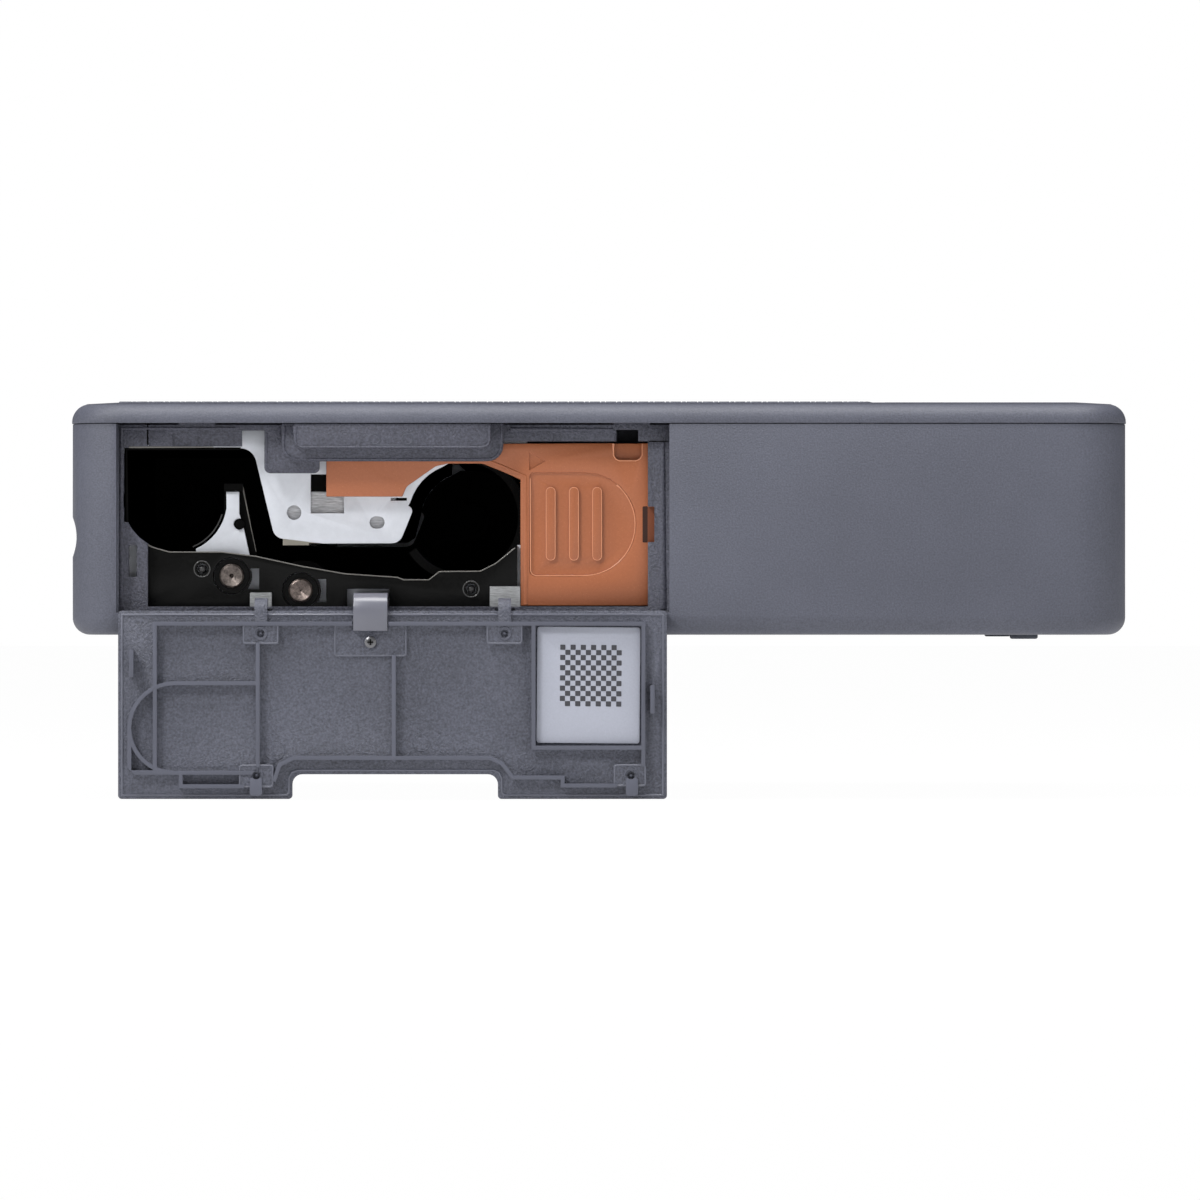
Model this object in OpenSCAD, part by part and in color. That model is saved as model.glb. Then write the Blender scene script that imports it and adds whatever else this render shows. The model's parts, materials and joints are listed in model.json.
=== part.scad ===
// Compact photo printer: a slim slab on four feet, its ink cassette cover hanging open
// below the long side, which faces -Y. The origin is at the plan centre, on the feet plane.

/* [Body] */
// Length of the body, front to rear
body_l = 145.8; // [140:0.1:155]
// Depth of the body across the paper
body_d = 102.2; // [100:0.1:108]
// Height from the feet plane to the top of the paper lid
body_h = 32.9; // [32.5:0.1:36]
// Height of the seam between the two casing halves
seam_z = 29.8; // [29.5:0.1:30]
// Gap that the feet leave under the body
foot_lift = 0.6; // [0.4:0.1:0.9]
// Plan radius of the body's upright corners
corner_r = 7; // [6:0.5:9]
// Radius along the bottom edge
bottom_edge_r = 2.4; // [1.8:0.1:2.8]
// Radius along the top edge
top_edge_r = 2.5; // [2:0.1:2.6]
// Casing wall thickness
wall_t = 1.8; // [1.5:0.1:2]
// Casing floor thickness
floor_t = 1.6; // [1.4:0.1:1.8]
// Width of the shadow line at the seam
seam_gap = 0.12; // [0.05:0.01:0.25]
// Step from the rim of the top casing down to its rounded edge
crown_rise = 0.3; // [0.1:0.05:0.5]

/* [Paper slot] */
// Height of the middle of the groove across the front end
groove_z = 14.1; // [12:0.1:16]
// Width of the groove, top to bottom
groove_w = 5.7; // [4:0.1:7]
// Depth of the groove
groove_deep = 0.7; // [0.4:0.05:0.9]
// Width of the slot that the print leaves by
slot_w = 74; // [70:0.5:80]
// Height of that slot
slot_h = 1.8; // [1.2:0.1:2.4]

/* [Cassette opening] */
// Front edge of the opening in the long side
opening_x0 = -66.5; // [-67.5:0.1:-66.3]
// Rear edge of the opening
opening_x1 = 9.7; // [9.4:0.1:12]
// Lower edge of the opening
opening_z0 = 3.65; // [3.5:0.05:3.7]
// How far the inner frame sits back from the outer wall
frame_inset = 2.6; // [2.4:0.1:2.8]
// Thickness of the inner frame
frame_t = 1.4; // [1.2:0.1:1.6]
// Width of the frame's front column
column_w = 4.2; // [3.8:0.1:4.6]
// Height of the frame's sill above the opening's lower edge
sill_h = 0.85; // [0.6:0.05:1]

/* [Cassette bay] */
// Centre of the supply spool's well along the body
supply_x = -58.8; // [-59:0.1:-58.5]
// Height of that centre
supply_z = 19.15; // [19:0.05:19.4]
// Radius of the supply well
supply_r = 6.9; // [6.7:0.1:7]
// Centre of the take-up spool's well along the body
takeup_x = -18.9; // [-19.1:0.1:-18.6]
// Height of that centre
takeup_z = 16.8; // [16.6:0.1:17]
// Radius of the take-up well
takeup_r = 7.45; // [7.3:0.05:7.6]
// Top of the supply well
well_top_z = 26.4; // [26.2:0.1:26.5]
// Wall of the black bay mouldings
liner_t = 1.2; // [1:0.1:1.3]
// Thickness of the black guide panel
guide_t = 2; // [1.8:0.1:2.2]
// Thickness of the steel side plates
plate_t = 1; // [0.8:0.1:1.2]
// Room for the gears between the far side plate and the casing wall
drive_room = 11.3; // [11:0.1:14]

/* [Printing drive] */
// Module of the gears
gear_m = 0.5; // [0.45:0.01:0.5]
// Radius of the capstan shaft
capstan_r = 1.7; // [1.5:0.05:1.8]
// Centre of the capstan along the body
capstan_x = -50.8; // [-51:0.1:-50.6]
// Height of the capstan's centre
capstan_z = 8.73; // [8.7:0.01:8.9]
// Radius of the platen's steel shaft
platen_shaft_r = 1.65; // [1.5:0.05:1.8]
// Radius of the platen's rubber
platen_r = 4.2; // [4:0.1:4.3]
// Height of the platen's centre
platen_z = 6.7; // [6.6:0.05:6.9]
// Radius of the pinch roller
pinch_r = 1.9; // [1.6:0.1:1.95]
// Diameter of the drive motor
motor_d = 16; // [14:0.5:17]
// Length of the drive motor
motor_l = 24; // [20:1:30]
// Width of each layer of gears
gear_w = 2; // [1.6:0.1:2.2]
// Radial clearance of a shaft in its bush
shaft_gap = 0.05; // [0.02:0.01:0.08]

/* [Eject lever] */
// Thickness of the lever's plate
lever_t = 1.5; // [1.3:0.1:1.6]
// Front edge of the lever's plate
lever_x0 = -10.85; // [-11:0.05:-10.8]
// Length of the plate along the body
lever_l = 19.2; // [18.5:0.1:20]
// Top of the lever's plate
lever_top_z = 27.1; // [27:0.05:27.1]
// Depth of the thumb recess
thumb_deep = 0.4; // [0.2:0.05:0.6]
// Number of grip ribs in the recess
grip_ribs = 3; // [2:1:4]
// Width of a grip rib
grip_w = 1.3; // [1:0.1:1.6]
// Pitch of the grip ribs
grip_pitch = 3.21; // [2.9:0.01:3.4]

/* [Ink cover] */
// Thickness of the cover's plate
cover_t = 1.3; // [1.1:0.1:1.5]
// Gap between the cover and each end of the opening
cover_gap = 0.35; // [0.3:0.05:0.6]
// Height of the cover when closed
cover_h = 25.9; // [25.5:0.05:25.95]
// Height of the hinge line
hinge_z = 3.79; // [3.75:0.01:3.85]
// Distance of the hinge line outside the wall
hinge_out = 0.15; // [0.15:0.01:0.2]
// Height of the stiffening ribs
rib_h = 1.1; // [0.8:0.1:1.2]
// Thickness of the stiffening ribs
rib_t = 0.55; // [0.4:0.05:0.7]
// Width of the notch for the frame's tab
notch_w = 28.3; // [27:0.1:29]
// Depth of that notch
notch_h = 3.4; // [3:0.1:3.6]
// Width of the two hinge fingers
finger_w = 1.75; // [1.5:0.05:1.9]
// Width of the tether strap
strap_w = 4.7; // [4:0.1:5]
// Thickness of the tether strap
strap_t = 0.8; // [0.6:0.1:0.9]
// Radius of the strap's loop round the hinge line
strap_r = 2.6; // [2.5:0.05:2.7]

/* [Paper lid] */
// Front edge of the lid
lid_x0 = -66.7; // [-67:0.1:-66]
// Rear edge of the lid
lid_x1 = 39.4; // [38:0.1:41]
// Distance of the lid's side edges from the sides of the body
lid_margin = 6.9; // [6.5:0.1:8]
// Thickness of the lid
lid_t = 1.6; // [1.4:0.1:1.7]
// Gap round the lid
lid_gap = 0.25; // [0.2:0.05:0.4]
// Depth of the grooves across the lid
ridge_h = 0.16; // [0.08:0.02:0.24]
// Number of ridges
ridge_count = 46; // [30:1:60]
// Radius of the lid's hinge barrel
barrel_r = 2.3; // [2.2:0.1:2.4]
// Radius of the lid's hinge pins
lid_pin_r = 1.2; // [1:0.05:1.3]

/* [Paper tray] */
// Distance of the tray's end from the rear end of the body
tray_rear = 14.9; // [14:0.1:17]
// Inner width of the tray
tray_w = 75.4; // [73:0.2:76]
// Height of the deck's upper face
tray_z = 27; // [26.9:0.05:27.1]

/* [Hidden] */
$fn = 48;
eps = 0.01;

slate = [0.385, 0.39, 0.435];
slate_dark = [0.31, 0.315, 0.355];
terracotta = [0.675, 0.4, 0.275];
steel_white = [0.8, 0.815, 0.83];
black = [0.1, 0.1, 0.1];
nickel = [0.67, 0.66, 0.63];

// ---- places that follow from the sizes above ----
half_l = body_l / 2;
half_d = body_d / 2;
floor_z = foot_lift + floor_t;
side_y = -half_d;
wall_in_y = side_y + wall_t;
top_z = body_h - 0.1;
edge_top_z = top_z - crown_rise;
plate_under_z = top_z - wall_t;

// The bay, the lever, the ink cover and the lid keep their distance from the front end, so
// their places along X are those of a body of this length, and slide with the front end.
drawn_l = 145.8;
front_dx = (drawn_l - body_l) / 2;
lid_w = body_d - 2 * lid_margin;

// layers of the cassette side, from the outside in
frame_y = side_y + frame_inset;
guide_y = frame_y + frame_t;
lever_gap = 0.2;
lever_y = guide_y + lever_gap;
near_y = guide_y + guide_t;
bay_y0 = near_y + plate_t;
far_y = half_d - wall_t - drive_room;
bay_y1 = far_y;
gear_y = far_y + plate_t + 1;
gear_step = 0.5;
gear_y2 = gear_y + gear_w + gear_step;

column_x1 = opening_x0 + column_w;
post_x = 6.75;
sill_z = opening_z0 + sill_h;
lintel_z = 27.16;
bay_x0 = supply_x - supply_r + 0.1;
bay_x1 = lever_x0 + 0.05;

// gear train: teeth, centres and phases
t_platen = 16;
t_capstan = 23;
t_upper = 37;
t_takeup = 36;
t_lower = 21;
t_pinion = 16;
function mesh_d(a, b) = gear_m * (a + b) / 2;
capstan_c = [capstan_x, capstan_z];
platen_c = [capstan_x + sqrt(pow(mesh_d(t_platen, t_capstan), 2) - pow(capstan_z - platen_z, 2)),
    platen_z];
takeup_c = [takeup_x, takeup_z];
supply_c = [supply_x, supply_z];
// point at distances ra and rb from a and b, on the left of the line from a to b
function meet(a, ra, b, rb) = let (d = norm(b - a), u = (b - a) / d,
    s = (ra * ra - rb * rb + d * d) / (2 * d)) a + s * u + sqrt(ra * ra - s * s) * [-u[1], u[0]];
upper_c = meet(capstan_c, mesh_d(t_capstan, t_upper), takeup_c, mesh_d(t_upper, t_takeup));
lower_angle = -10;
lower_c = takeup_c + mesh_d(t_takeup, t_lower) * [cos(lower_angle), sin(lower_angle)];
pinion_angle = -5;
pinion_c = lower_c + mesh_d(t_lower, t_pinion) * [cos(pinion_angle), sin(pinion_angle)];
function heading(a, b) = atan2(b[1] - a[1], b[0] - a[0]);
// turn of gear b that puts a gap where gear a has a tooth
function mesh_turn(a, na, turn_a, b, nb) =
    heading(a, b) + 180 - (0.5 + (turn_a - heading(a, b)) * na / 360) * 360 / nb;
turn_capstan = 0;
turn_platen = mesh_turn(capstan_c, t_capstan, turn_capstan, platen_c, t_platen);
turn_upper = mesh_turn(capstan_c, t_capstan, turn_capstan, upper_c, t_upper);
turn_takeup = mesh_turn(upper_c, t_upper, turn_upper, takeup_c, t_takeup);
turn_lower = mesh_turn(takeup_c, t_takeup, turn_takeup, lower_c, t_lower);
turn_pinion = mesh_turn(lower_c, t_lower, turn_lower, pinion_c, t_pinion);
pinch_z = capstan_z - capstan_r - pinch_r - 0.3;
bush_r = capstan_r + 0.75;
stud_r = 1;
spindle_r = 1.5;

// cover, in its open place
hinge_y = side_y - hinge_out;
cover_x0 = opening_x0 + cover_gap;
cover_x1 = opening_x1 - cover_gap;
cover_top_z = hinge_z + 0.14;
cover_low_z = cover_top_z - cover_h;
cover_out_y = side_y - 2 * hinge_out;
cover_in_y = cover_out_y - cover_t;
notch_x = -28.05;
// clearance of the frame's tab in that notch
notch_gap = 0.15;
notch_z = cover_low_z + notch_h;
finger_x = [-46.5, -12.98];
strap_x = -31.43;
lid_axis_x = lid_x1 - barrel_r;
lid_axis_z = body_h - barrel_r;
screw_spots = [[-half_l + 4, -half_d + 7.1], [-half_l + 4, half_d - 7.1],
    [half_l - 5.9, -half_d + 7.1], [half_l - 5.9, half_d - 7.1]];
foot_r = 1.95;
foot_spots = [for (sx = [-1, 1]) for (sy = [-1, 1]) [sx * (half_l - 13.85), sy * (half_d - 11.1)]];
button_c = [half_l - 10.3, 0];
button_r = 3.2;
lens_r = 0.6;
lens_y = [-8, -10.6, -13.2];
usb_y = 22;
usb_z = 7;
pickup_c = [half_l - 28.9, 23.9];
pickup_r = 3.3;
roller_y0 = bay_y0 + 7.6;
roller_y1 = far_y - 1.5;
lid_under_z = body_h - lid_t;

// tray, board and battery behind the bay
tray_t = 0.8;
tray_x0 = -30 + front_dx;
tray_x1 = half_l - tray_rear;
leg_r = 1;
leg_y = tray_w / 2 - 0.8;
leg_x = [13.45 + front_dx, tray_x1 - 2];
board_z = 4.2;
board_t = 1.2;
board_x0 = 15.2 + front_dx;
board_x1 = half_l - 5;
board_y0 = -2;
board_y1 = half_d - 5.1;
post_spots = [for (x = [board_x0 + 2.8, board_x1 - 7.9]) for (y = [board_y0 + 4, board_y1 - 6]) [x, y]];
battery_x0 = 16 + front_dx;
battery_x1 = half_l - 12.9;
battery_y1 = -5.5;
battery_y0 = battery_y1 - 30;
battery_h = 15;

// ---- helpers ----
module from_front() translate([front_dx, 0, 0]) children();
// corner of an outline rounded to radius r, as the points of its arc
function arc_corner(a, p, b, r) = r == 0 ? [p] : let (u = (a - p) / norm(a - p),
    v = (b - p) / norm(b - p), half = acos(u * v) / 2, w = (u + v) / norm(u + v),
    c = p + w * r / sin(half), a0 = atan2((p + u * r / tan(half) - c)[1], (p + u * r / tan(half) - c)[0]),
    a1 = atan2((p + v * r / tan(half) - c)[1], (p + v * r / tan(half) - c)[0]),
    turn = a1 - a0 > 180 ? a1 - a0 - 360 : a1 - a0 < -180 ? a1 - a0 + 360 : a1 - a0,
    n = max(2, ceil(abs(turn) / 15)))
    [for (i = [0:n]) c + r * [cos(a0 + turn * i / n), sin(a0 + turn * i / n)]];
// closed outline of [x, z, radius] corners
function rounded(p) = [for (i = [0:len(p) - 1])
    each arc_corner([p[(i + len(p) - 1) % len(p)][0], p[(i + len(p) - 1) % len(p)][1]],
        [p[i][0], p[i][1]], [p[(i + 1) % len(p)][0], p[(i + 1) % len(p)][1]], p[i][2])];
function arc_points(c, r, a0, a1, n) =
    [for (i = [0:n]) c + r * [cos(a0 + (a1 - a0) * i / n), sin(a0 + (a1 - a0) * i / n)]];
// outline of a strip that runs h to each side of a line of points
function across(a, b) = [a[1] - b[1], b[0] - a[0]] / norm(b - a);
function stroke_side(p, h) = let (n = len(p) - 1) [for (i = [0:n])
    i == 0 ? p[0] + across(p[0], p[1]) * h - (p[1] - p[0]) / norm(p[1] - p[0]) * abs(h)
    : i == n ? p[n] + across(p[n - 1], p[n]) * h + (p[n] - p[n - 1]) / norm(p[n] - p[n - 1]) * abs(h)
    : let (a = across(p[i - 1], p[i]), m = (a + across(p[i], p[i + 1])) / norm(a + across(p[i], p[i + 1])))
        p[i] + m * h / (m * a)];
function stroke(p, h) = concat(stroke_side(p, h), flipped(stroke_side(p, -h)));
function flipped(p) = [for (i = [len(p) - 1:-1:0]) p[i]];
function shifted(p, by) = [for (q = p) q + by];
// outline in X and Z, thick from y0 to y1
module slab(y0, y1) translate([0, y1, 0]) rotate([90, 0, 0]) linear_extrude(y1 - y0) children();
// outline in Y and Z, thick from x0 to x1
module slab_x(x0, x1) translate([x0, 0, 0]) rotate([90, 0, 90]) linear_extrude(x1 - x0) children();
module block(x0, x1, y0, y1, z0, z1) translate([x0, y0, z0]) cube([x1 - x0, y1 - y0, z1 - z0]);
module rod(c, r, y0, y1) translate([c[0], y1, c[1]]) rotate([90, 0, 0]) cylinder(r = r, h = y1 - y0);
module box2(x0, x1, z0, z1) translate([x0, z0]) square([x1 - x0, z1 - z0]);
module round_box2(x0, x1, z0, z1, r)
    polygon(rounded([[x0, z0, r], [x1, z0, r], [x1, z1, r], [x0, z1, r]]));
module ring(c, r_in, r_out) translate(c) difference() { circle(r_out); circle(r_in); }

// half of a wall section with its outer edge rounded at the bottom
module edge_half(w, h, r) {
    square([w - r, h]);
    translate([0, r]) square([w, h - r]);
    translate([w - r, r]) intersection() { circle(r); translate([0, -r]) square(r); }
}
module edge_section(w, h, r) { edge_half(w / 2, h, r); mirror([1, 0]) edge_half(w / 2, h, r); }
// block with upright corners of radius rc and its bottom edge rounded to re
module soft_block(l, d, h, rc, re) {
    slab_x(-l / 2 + rc, l / 2 - rc) edge_section(d, h, re);
    slab(-d / 2 + rc, d / 2 - rc) edge_section(l, h, re);
    for (sx = [-1, 1]) for (sy = [-1, 1]) translate([sx * (l / 2 - rc), sy * (d / 2 - rc), 0])
        rotate_extrude() edge_half(rc, h, re);
}
module crown(l, d, rc, run) {
    flat = rc - run;
    slab_x(-l / 2 + rc, l / 2 - rc) polygon([[-d / 2 + flat, 0], [d / 2 - flat, 0],
        [d / 2 - rc, crown_rise], [-d / 2 + rc, crown_rise]]);
    slab(-d / 2 + rc, d / 2 - rc) polygon([[-l / 2 + flat, 0], [l / 2 - flat, 0],
        [l / 2 - rc, crown_rise], [-l / 2 + rc, crown_rise]]);
    for (sx = [-1, 1]) for (sy = [-1, 1]) translate([sx * (l / 2 - rc), sy * (d / 2 - rc), 0])
        rotate_extrude() polygon([[0, 0], [run, 0], [0, crown_rise]]);
}

// ---- outlines of the bay, from the wells and rollers that they pass ----
guide_line = concat(
    [supply_c + [-supply_r + 0.1, -2.85], supply_c + [-4.6, -5.65], supply_c + [-3, -6.35],
        supply_c + [-0.6, -7.05], supply_c + [6.65, -7.05]],
    [capstan_c + [3.4, 2.77], platen_c + [0.06, 3.45], platen_c + [6.06, 2.4]],
    [takeup_c + [-9, -8.2], takeup_c + [-8.1, -8.54], takeup_c + [-4.6, -8.54],
        takeup_c + [-3.15, -7.4], takeup_c + [2.5, -7.35], takeup_c + [4.6, -6.3],
        takeup_c + [7.6, -3.8]]);
// lower edge of the hanging head plate, from the top of the supply well to the take-up well
head_line = concat(
    rounded([[-52, well_top_z, 0], [-47.9, well_top_z, 2.2], [-44.9, 14, 1.6], [-38.2, 13.2, 3],
        [-27.6, 13.25, 1.6], [-25.6, 18.2, 0.8]]),
    arc_points(takeup_c, takeup_r + 0.1, 164, 112, 6));
bay_line = concat([[bay_x0, well_top_z]], head_line,
    [takeup_c + [-1.6, 7.7], takeup_c + [2.9, 7.7], takeup_c + [5.7, 6.6]],
    [[bay_x1, takeup_z + 5.6], [bay_x1, takeup_z - 3.8]], flipped(guide_line));

// ---- casing ----
module opening_cut()
    block(opening_x0, opening_x1, side_y - 1, wall_in_y + eps, opening_z0, seam_z + 1);
module port_shape() round_box2(usb_y - 4.7, usb_y + 4.7, usb_z - 1.75, usb_z + 1.75, 1.7);

module bottom_case() color(slate) {
    difference() {
        translate([0, 0, foot_lift])
            soft_block(body_l, body_d, seam_z - seam_gap - foot_lift, corner_r, bottom_edge_r);
        translate([0, 0, foot_lift + floor_t])
            soft_block(body_l - 2 * wall_t, body_d - 2 * wall_t, body_h, corner_r - wall_t, 0.8);
        from_front() opening_cut();
        // notches that the cover's two fingers turn in
        from_front() for (x = finger_x)
            block(x - finger_w / 2 - 0.5, x + finger_w / 2 + 0.5, side_y - 1, wall_in_y + eps,
                hinge_z - 2.3, opening_z0 + 1);
        groove_r = (groove_w * groove_w / 4 + groove_deep * groove_deep) / (2 * groove_deep);
        translate([-half_l - groove_r + groove_deep, half_d + 1, groove_z])
            rotate([90, 0, 0]) cylinder(r = groove_r, h = body_d + 2);
        block(-half_l - 1, -half_l + wall_t + 1, -slot_w / 2, slot_w / 2,
            groove_z - slot_h / 2, groove_z + slot_h / 2);
        for (p = foot_spots) translate([p[0], p[1], foot_lift - eps])
            cylinder(r1 = foot_r + 1.5, r2 = foot_r + 0.6, h = 0.9);
        for (p = screw_spots) translate([p[0], p[1], foot_lift - eps]) {
            cylinder(r = 1.75, h = 1);
            cylinder(r = 0.95, h = 12);
        }
        slab_x(half_l - wall_t - 1, half_l + 1) port_shape();
        translate([half_l - 3, usb_y + 14, usb_z]) rotate([0, 90, 0]) cylinder(r = 0.6, h = 5);
        // clearance for the two lowest gears
        from_front() block(platen_c[0] - 5.5, platen_c[0] + 5.5, gear_y - 0.6,
            gear_y2 + gear_w + 0.6, floor_z - 0.4, floor_z + 1);
        from_front() block(capstan_x - 7.5, capstan_x + 7.5, gear_y - 0.6,
            gear_y2 + gear_w + 0.6, floor_z - 0.4, floor_z + 1);
    }
    for (p = screw_spots) translate([p[0], p[1], floor_z - 0.4]) difference() {
        cylinder(r = 1.95, h = 18);
        translate([0, 0, -1]) cylinder(r = 0.95, h = 20);
    }
    for (p = post_spots)
        translate([p[0], p[1], floor_z - eps]) cylinder(r = 1.8, h = board_z - floor_z + eps);
    // stop for the lever's spring
    from_front() block(lever_x0 + lever_l + 9.02, lever_x0 + lever_l + 10.4, wall_in_y - eps,
        lever_y + 4.3, floor_z - eps, 18);
    // fences at the two ends of the battery
    for (x = [battery_x0 - 1.4, battery_x1 + 0.2])
        block(x, x + 1.2, battery_y0, battery_y1 - 0.5, floor_z - eps, floor_z + 4);
}

module top_case() color(slate) {
    difference() {
        union() {
            translate([0, 0, edge_top_z]) mirror([0, 0, 1])
                soft_block(body_l + 0.2, body_d + 0.2, edge_top_z - seam_z, corner_r + 0.1,
                    top_edge_r);
            translate([0, 0, edge_top_z - eps])
                crown(body_l + 0.2, body_d + 0.2, corner_r + 0.1, corner_r - top_edge_r + 0.6);
        }
        translate([0, 0, plate_under_z]) mirror([0, 0, 1])
            soft_block(body_l - 2 * wall_t, body_d - 2 * wall_t, 6, corner_r - wall_t, 0.6);
        from_front() block(lid_x0 - lid_gap, lid_x1 + lid_gap, -lid_w / 2 - lid_gap,
            lid_w / 2 + lid_gap, plate_under_z - 3, body_h + 1);
        from_front() lid_pin_bores();
        translate([button_c[0], button_c[1], plate_under_z - 2])
            cylinder(r = button_r + 0.25, h = 6);
        for (y = lens_y) translate([button_c[0], y, plate_under_z - 1])
            cylinder(r = lens_r, h = 4);
    }
    from_front() lid_seat();
    // posts that the case screws bite into
    for (p = screw_spots) difference() {
        translate([p[0], p[1], floor_z + 17.8]) cylinder(r = 1.95, h = plate_under_z - floor_z - 17.7);
        translate([p[0], p[1], floor_z + 15]) cylinder(r = 0.8, h = 9);
    }
}
module lid_pin_bores() for (s = [-1, 1]) rod([lid_axis_x, lid_axis_z], lid_pin_r + shaft_gap,
    s > 0 ? lid_w / 2 : -lid_w / 2 - 4.6, s > 0 ? lid_w / 2 + 4.6 : -lid_w / 2);
// ledge that the closed lid rests on, and the bosses for its pins
module lid_seat() {
    for (s = [-1, 1]) block(lid_x0 - 2, lid_axis_x - 5, s > 0 ? lid_w / 2 - 1.4 : -lid_w / 2 - 1.5,
        s > 0 ? lid_w / 2 + 1.5 : -lid_w / 2 + 1.4, lid_under_z - 1.3, lid_under_z - 0.1);
    block(lid_x0 - 2, lid_x0 + 1.6, -lid_w / 2 - 1.5, lid_w / 2 + 1.5,
        lid_under_z - 1.3, lid_under_z - 0.1);
    for (s = [-1, 1]) for (x = [lid_x0 + 14, lid_x0 + 60])
        block(x, x + 6, s > 0 ? lid_w / 2 + lid_gap : -lid_w / 2 - 1.5,
            s > 0 ? lid_w / 2 + 1.5 : -lid_w / 2 - lid_gap, lid_under_z - 0.2, plate_under_z + eps);
    difference() {
        for (s = [-1, 1]) block(lid_axis_x - 2.2, lid_axis_x + 2.2,
            s > 0 ? lid_w / 2 + lid_gap : -lid_w / 2 - 3.6,
            s > 0 ? lid_w / 2 + 3.6 : -lid_w / 2 - lid_gap, lid_axis_z - 2.2, plate_under_z + eps);
        lid_pin_bores();
    }
}

module rubber_feet() color([0.17, 0.18, 0.2]) for (p = foot_spots) translate([p[0], p[1], 0])
    rotate_extrude() { square([foot_r - 0.3, foot_lift + 0.89 - eps]);
        translate([0, 0.3]) square([foot_r, foot_lift + 0.59 - eps]);
        translate([foot_r - 0.3, 0.3]) intersection() { circle(0.3); translate([0, -0.3]) square(0.3); } }

module case_screws() color(nickel) for (p = screw_spots) translate([p[0], p[1], 0]) difference() {
    union() {
        translate([0, 0, foot_lift + 0.15]) cylinder(r = 1.7, h = 0.84);
        translate([0, 0, foot_lift + 0.5]) cylinder(r = 0.79, h = 21);
    }
    for (a = [0, 90]) rotate(a) translate([-0.85, -0.2, foot_lift]) cube([1.7, 0.4, 0.6]);
}

// ---- inner frame round the cassette opening ----
tab_x1 = -12.95;
tab_z = 24.5;
block_x0 = -46.2;
block_x1 = -38.6;
block_z = 22.9;
// what the frame leaves for the round corner of the casing wall
module casing_corner() difference() {
    block(-half_l - 1, -half_l + corner_r, -half_d - 1, -half_d + corner_r, 0, body_h);
    translate([-half_l + corner_r, -half_d + corner_r, -1])
        cylinder(r = corner_r - wall_t - 0.04, h = body_h + 2);
}
module side_frame() color(slate_dark) difference() {
    from_front() difference() {
        union() {
            slab(frame_y, guide_y) difference() {
                box2(opening_x0 - 1.2, opening_x1 + 1.2, opening_z0 - 1, lintel_top_z);
                box2(column_x1, post_x, sill_z, lintel_top_z + 1);
                box2(column_x1, opening_x1 + 2, lintel_z + 0.1, lintel_top_z + 1);
                translate(supply_c) circle(supply_r);
                box2(bay_x0, column_x1 + 1, supply_z - 3, well_top_z);
            }
            // rim behind the casing wall
            slab(wall_in_y, frame_y) difference() {
                box2(opening_x0 - 1.2, opening_x1 + 1.2, floor_z + 0.82, lintel_z);
                box2(opening_x0, opening_x1, opening_z0, lintel_z + 1);
            }
        }
        for (x = finger_x) block(x - finger_w / 2 - 0.5, x + finger_w / 2 + 0.5, wall_in_y - 1,
            guide_y + 1, 0, hinge_z + 0.45);
        // slots for the cover's end tabs and the lever's stop
        slab(frame_y - 1, guide_y + 1) round_box2(-64.9, -63.8, 8.6, 12.95, 0.2);
        block(post_x - 1, post_x + 0.9, frame_y - 1, guide_y + 1, 13.4, 18.3);
    }
    casing_corner();
}

lintel_top_z = 29.6;
module tab_outline(grow, top)
    polygon(rounded([[notch_x - notch_w / 2 + notch_gap - grow, top, 0],
        [notch_x - notch_w / 2 + notch_gap - grow, tab_z + 1.75 - grow, 1.2 + grow * 0.6],
        [tab_x1 - 1.95 + grow, tab_z + 1.75 - grow, 1.2 + grow * 0.6],
        [tab_x1 - 1.95 + grow, top, 0]]));
module top_frame() color(slate_dark) from_front() difference() {
    union() {
        slab(frame_y, guide_y) {
            box2(column_x1 + 0.1, -49.3, well_top_z + 0.2, lintel_top_z);
            box2(-49.4, block_x0 + 0.1, 28.8, lintel_top_z);
            box2(block_x0, opening_x1 + 1.2, lintel_z + 0.15, lintel_top_z);
            round_box2(block_x0, block_x1, block_z, 28.5, 0.8);
            tab_outline(1.7, plate_under_z);
        }
        slab(frame_y - 1.1, frame_y) tab_outline(1.7, seam_z - 0.1);
        slab(frame_y - 2.4, frame_y - 1.1) tab_outline(0, seam_z - 0.1);
        // legs up to the top casing
        for (x = [-58, -22, 2]) slab(frame_y, guide_y)
            box2(x, x + 5, lintel_top_z - 0.1, plate_under_z);
    }
    // shallow steps and the latch slot
    for (x = [-58.85, -6.3]) block(x, x + 8.6, frame_y - 1, frame_y + 0.4, 0, 28.4);
    block(2.41, 5.41, frame_y - 1, guide_y + 1, 27, 28.9);
}

// ---- steel side plates ----
module bush_holes() for (c = [capstan_c, platen_c]) translate(c) circle(bush_r);
module spindle_holes(r) for (c = [takeup_c, supply_c]) translate(c) circle(r);
module pinch_hole() translate([capstan_x, pinch_z]) circle(1.05);
module chassis_near() color(steel_white) from_front() slab(near_y, bay_y0) {
    difference() {
        round_box2(bay_x0 - 1.1, bay_x1 + 0.9, floor_z, 29, 0.6);
        polygon(bay_line);
        translate([-42.2, 17.5]) circle(1);
        round_box2(-31.75, -29.68, 15.3, 16.95, 0.8);
        box2(-39.9, -35.3, 17.4, 22.8);
        box2(-28.8, -26.6, 19.15, 19.55);
        bush_holes();
        pinch_hole();
    }
    // post beside the supply well
    difference() {
        polygon(concat([[-51.6, 20.4]], arc_points(supply_c, 7.3, -8, -66, 8),
            [[-55.6, 11.5], [-48.3, 11.3], [-49.1, 15], [-49.8, 17.4], [-49.8, 20.4]]));
        translate([-49.8, 15.9]) circle(0.75);
    }
}
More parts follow.
